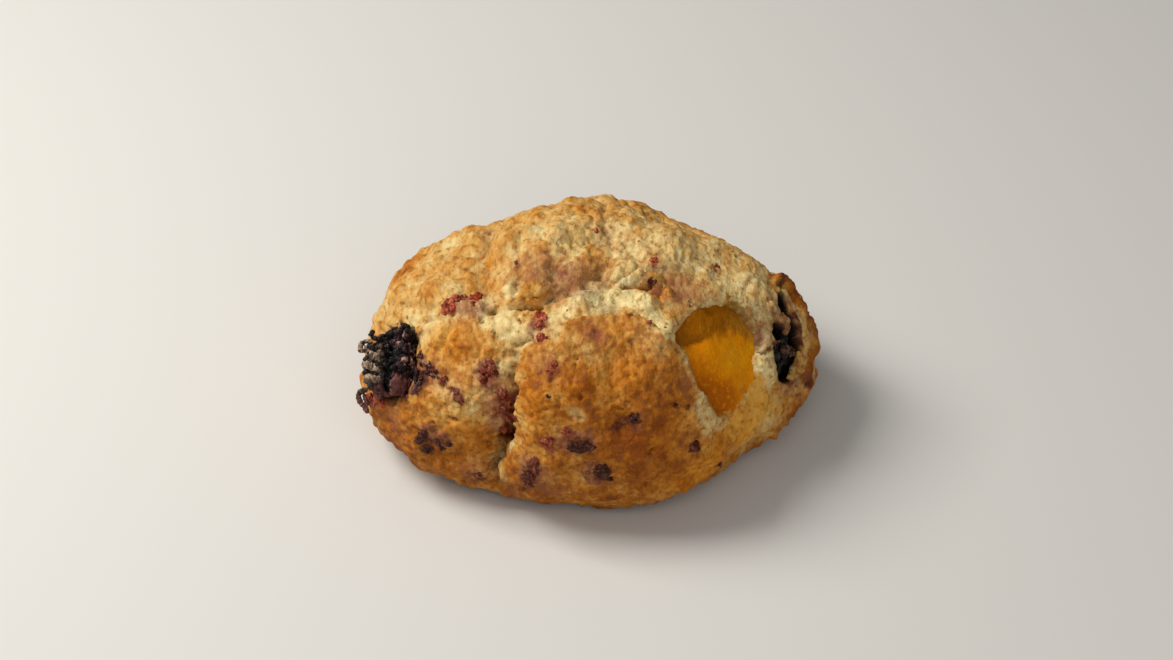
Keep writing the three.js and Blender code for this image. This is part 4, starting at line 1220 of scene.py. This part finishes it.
STRIP = [                        # drops of pulp: across, down and radius
    (781, 294, 1.0), (781, 300, 1.2), (784, 308, 1.3), (788, 315, 1.4), (792, 322, 1.5), (794, 330, 1.6),
    (794, 338, 1.6), (790, 345, 1.7), (784, 353, 1.8), (793, 353, 1.6), (787, 360, 2.0), (794, 359, 1.4),
    (785, 368, 1.8), (786, 375, 1.4), (785, 379, 1.0), (779, 327, 1.2), (781, 333, 1.3), (781, 358, 1.4),
]
WALL_SKINS = [(791, 350, 1.1), (796, 351, 1.0), (787, 350, 0.7)]     # a ledge of half dried skins
PULP_SINK = 2.2
SKIN_SINK = 0.7
bm = bmesh.new()
for drops, sink, paleness in ((STRIP, PULP_SINK, 0.0), (WALL_SKINS, SKIN_SINK, 1.0)):
    for at_x, at_y, radius in drops:
        spot = seen(at_x, at_y)
        out = (spot - BELLY).normalized()
        drop(bm, spot - out * (radius * 0.5 + sink), radius * 1.15, out, flat=0.8, wrinkle=0.6,
             tint=paleness)
right_mesh, _ = mesh_from(bm, "bramble_right")

wet_material, tree, shader = new_material("wet_bramble")
_, grains, _ = mottled(tree, 2.0)
pulp_paint = mixed(tree, span(tree, grains, 0.4, 0.7), paint("#040202"), paint("#0e0607"))
skin_paint = mixed(tree, span(tree, grains, 0.4, 0.65), paint("#24120c"), paint("#6e4a34"))
surface = mixed(tree, reading(tree, "tint"), pulp_paint, skin_paint)
coat(tree, shader, surface, span(tree, grains, 0.3, 0.7, 0.25, 0.45), shine=0.25)
bumpy(tree, shader, grains, 0.4, 0.7)
finish_piece("bramble_right", right_mesh, wet_material, "bramble_right", "bramble_right")

# ---- Scraps of berry --------------------------------------------------------------------------
# Torn bits of bramble and red berry that were folded into the dough and baked half into its
# crust: a few flattened, shrivelled drops each, given as (across, down, radius).

SCRAPS = {
    "berry_scrap_upper_left": [(448, 309, 1.2), (449, 303, 1.0), (456, 299, 0.8), (464, 298, 0.7),
                               (474, 300, 1.1), (478, 298, 1.1)],
    "berry_scrap_tear": [(540, 316, 1.1), (539, 322, 1.1), (541, 338, 1.0)],
    "berry_scrap_left": [(489, 368, 1.4), (486, 377, 1.2), (493, 373, 1.2)],
    "berry_scrap_crack": [(501, 393, 1.1), (507, 399, 1.2), (504, 409, 1.2), (510, 418, 1.3),
                          (507, 428, 1.2), (500, 403, 0.8), (510, 408, 0.9)],
    "berry_scrap_lower_left": [(424, 434, 1.0), (421, 440, 1.0), (423, 446, 1.1), (429, 449, 1.0),
                               (437, 441, 0.8), (443, 446, 0.8), (448, 446, 0.7)],
    "berry_scrap_front": [(574, 446, 1.0), (581, 444, 1.3), (588, 445, 1.1)],
    "berry_scrap_low": [(534, 462, 0.9), (535, 470, 1.1), (530, 479, 1.3), (529, 485, 0.8)],
    "berry_scrap_low_right": [(598, 471, 1.0), (604, 474, 1.4), (610, 477, 0.8)],
}
SCRAP_REDNESS = {"berry_scrap_upper_left": 1.0, "berry_scrap_tear": 0.9, "berry_scrap_left": 0.5,
                 "berry_scrap_crack": 0.5, "berry_scrap_low": 0.3}
LOOSE_BITS = [                   # across, down, radius and redness
    (634, 419, 0.9, 0.1), (638, 421, 0.6, 0.2), (696, 447, 1.1, 0.2), (721, 465, 0.6, 0.4),
    (655, 260, 0.8, 1.0), (717, 266, 0.7, 0.7), (553, 364, 0.9, 0.7), (550, 371, 0.7, 0.8),
    (458, 392, 0.9, 0.3), (459, 400, 0.8, 0.4), (595, 230, 0.6, 0.8), (652, 281, 0.7, 0.2),
    (475, 475, 1.0, 0.5), (549, 443, 1.1, 0.8), (372, 397, 1.3, 0.7), (378, 396, 1.2, 0.9),
    (374, 403, 1.0, 0.7), (381, 401, 0.9, 0.8), (366, 398, 0.9, 0.2), (650, 322, 0.5, 0.9),
    (516, 262, 0.4, 0.5), (676, 405, 0.4, 0.1), (548, 396, 0.5, 0.2), (443, 380, 0.7, 0.4),
    (430, 368, 0.8, 0.3), (421, 372, 0.8, 0.2), (386, 452, 0.7, 0.3), (381, 437, 0.7, 0.5),
    (567, 432, 0.8, 0.7),
]
SCRAP_FLAT = (0.25, 0.45)
SCRAP_TINT = (0.25, 0.75)
SCRAP_SUNK = 0.4                 # how far a shred's middle lies under the crust, in thicknesses
SHREDS = 5                       # a drop falls apart into this many
SHRED = (0.55, 1.05)             # their radius, as a share of the drop's

scrap_material, tree, shader = new_material("berry_scrap")
patches, grains, _ = mottled(tree, 2.0)
tone = grained(tree, product(tree, reading(tree, "tint"), 0.8), grains, 1.6)
dark_paint = ramp(tree, tone, (0.0, "#0c0402"), (0.4, "#261209"), (0.75, "#4e2a16"), (1.0, "#7e5034"))
red_paint = ramp(tree, tone, (0.0, "#54160a"), (0.4, "#983a20"), (0.75, "#c26e48"), (1.0, "#e4ac7c"))
surface = mixed(tree, reading(tree, "red"), dark_paint, red_paint)
coat(tree, shader, surface, span(tree, patches, 0.3, 0.7, 0.3, 0.5), shine=0.2)
bumpy(tree, shader, grains, 0.5, 0.8)


def berry_scrap(name, drops, *nodes):
    """Bakes drops of berry, each fallen apart into shreds, into the crust as one piece."""
    bm = bmesh.new()
    for at_x, at_y, radius, redness in drops:
        for _ in range(SHREDS):
            turn = random.uniform(0, 2 * math.pi)
            away = math.sqrt(random.random()) * radius * 0.8 / POINT
            shred = radius * random.uniform(*SHRED)
            flat = random.uniform(*SCRAP_FLAT)
            tint = random.uniform(*SCRAP_TINT)
            spot, out = met(at_x + away * math.cos(turn), at_y + away * math.sin(turn), crust_tree)
            if spot:
                drop(bm, spot - out * shred * flat * SCRAP_SUNK, shred, out, flat, wrinkle=0.7,
                     tint=tint, red=redness)
    mesh, _ = mesh_from(bm, name)
    finish_piece(name, mesh, scrap_material, "berry_scrap", *nodes)


for name, drops in SCRAPS.items():
    berry_scrap(name, [(*drop_at, SCRAP_REDNESS.get(name, 0.1)) for drop_at in drops], name)
berry_scrap("berry_bits", LOOSE_BITS)

# ---- Crumbs -----------------------------------------------------------------------------------
# Loose crumbs of baked dough that broke off and stick to the crust, most of them along the torn
# places. They are one piece, made of small rough grains.

CRUMBS = 1200                    # as many places are tried, and most stay free
CRUMB = (0.14, 0.36)             # smallest and largest radius
CRUMB_LOWEST = 2                 # none stick lower than this, under the overhang,
CRUMB_FREE = 1.5                 # and none this close to fruit
CRUMB_STAYS = 0.05               # the chance of a crumb on whole crust,
CRUMB_STAYS_TORN = 0.9           # and how much greater it is on torn crumb
bm = bmesh.new()
for chosen in random.sample(range(len(crust)), CRUMBS):
    spot = Vector(crust[chosen])
    out = Vector(normals[chosen])
    wanted = CRUMB_STAYS + CRUMB_STAYS_TORN * torn[chosen]
    bare = opening[chosen] < 0.01 and in_slit[chosen] < 0.01 and hugging[chosen] > CRUMB_FREE
    if spot.z < CRUMB_LOWEST or not bare or random.random() > wanted:
        continue
    radius = between(CRUMB, random.random() ** 2)
    drop(bm, spot + out * radius * 0.1, radius, out, flat=0.8, wrinkle=0.6, cuts=2)
crumb_mesh, _ = mesh_from(bm, "crumbs")

crumb_material, tree, shader = new_material("crumbs")
patches, grains, specks = mottled(tree, 3.0)
surface = ramp(tree, patches, (0.3, "#c9a868"), (0.5, "#b08040"), (0.7, "#8c5a1e"))
coat(tree, shader, surface, span(tree, grains, 0.3, 0.7, 0.55, 0.75), shine=0.14)
bumpy(tree, shader, specks, 0.3)
finish_piece("crumbs", crumb_mesh, crumb_material, "dough")
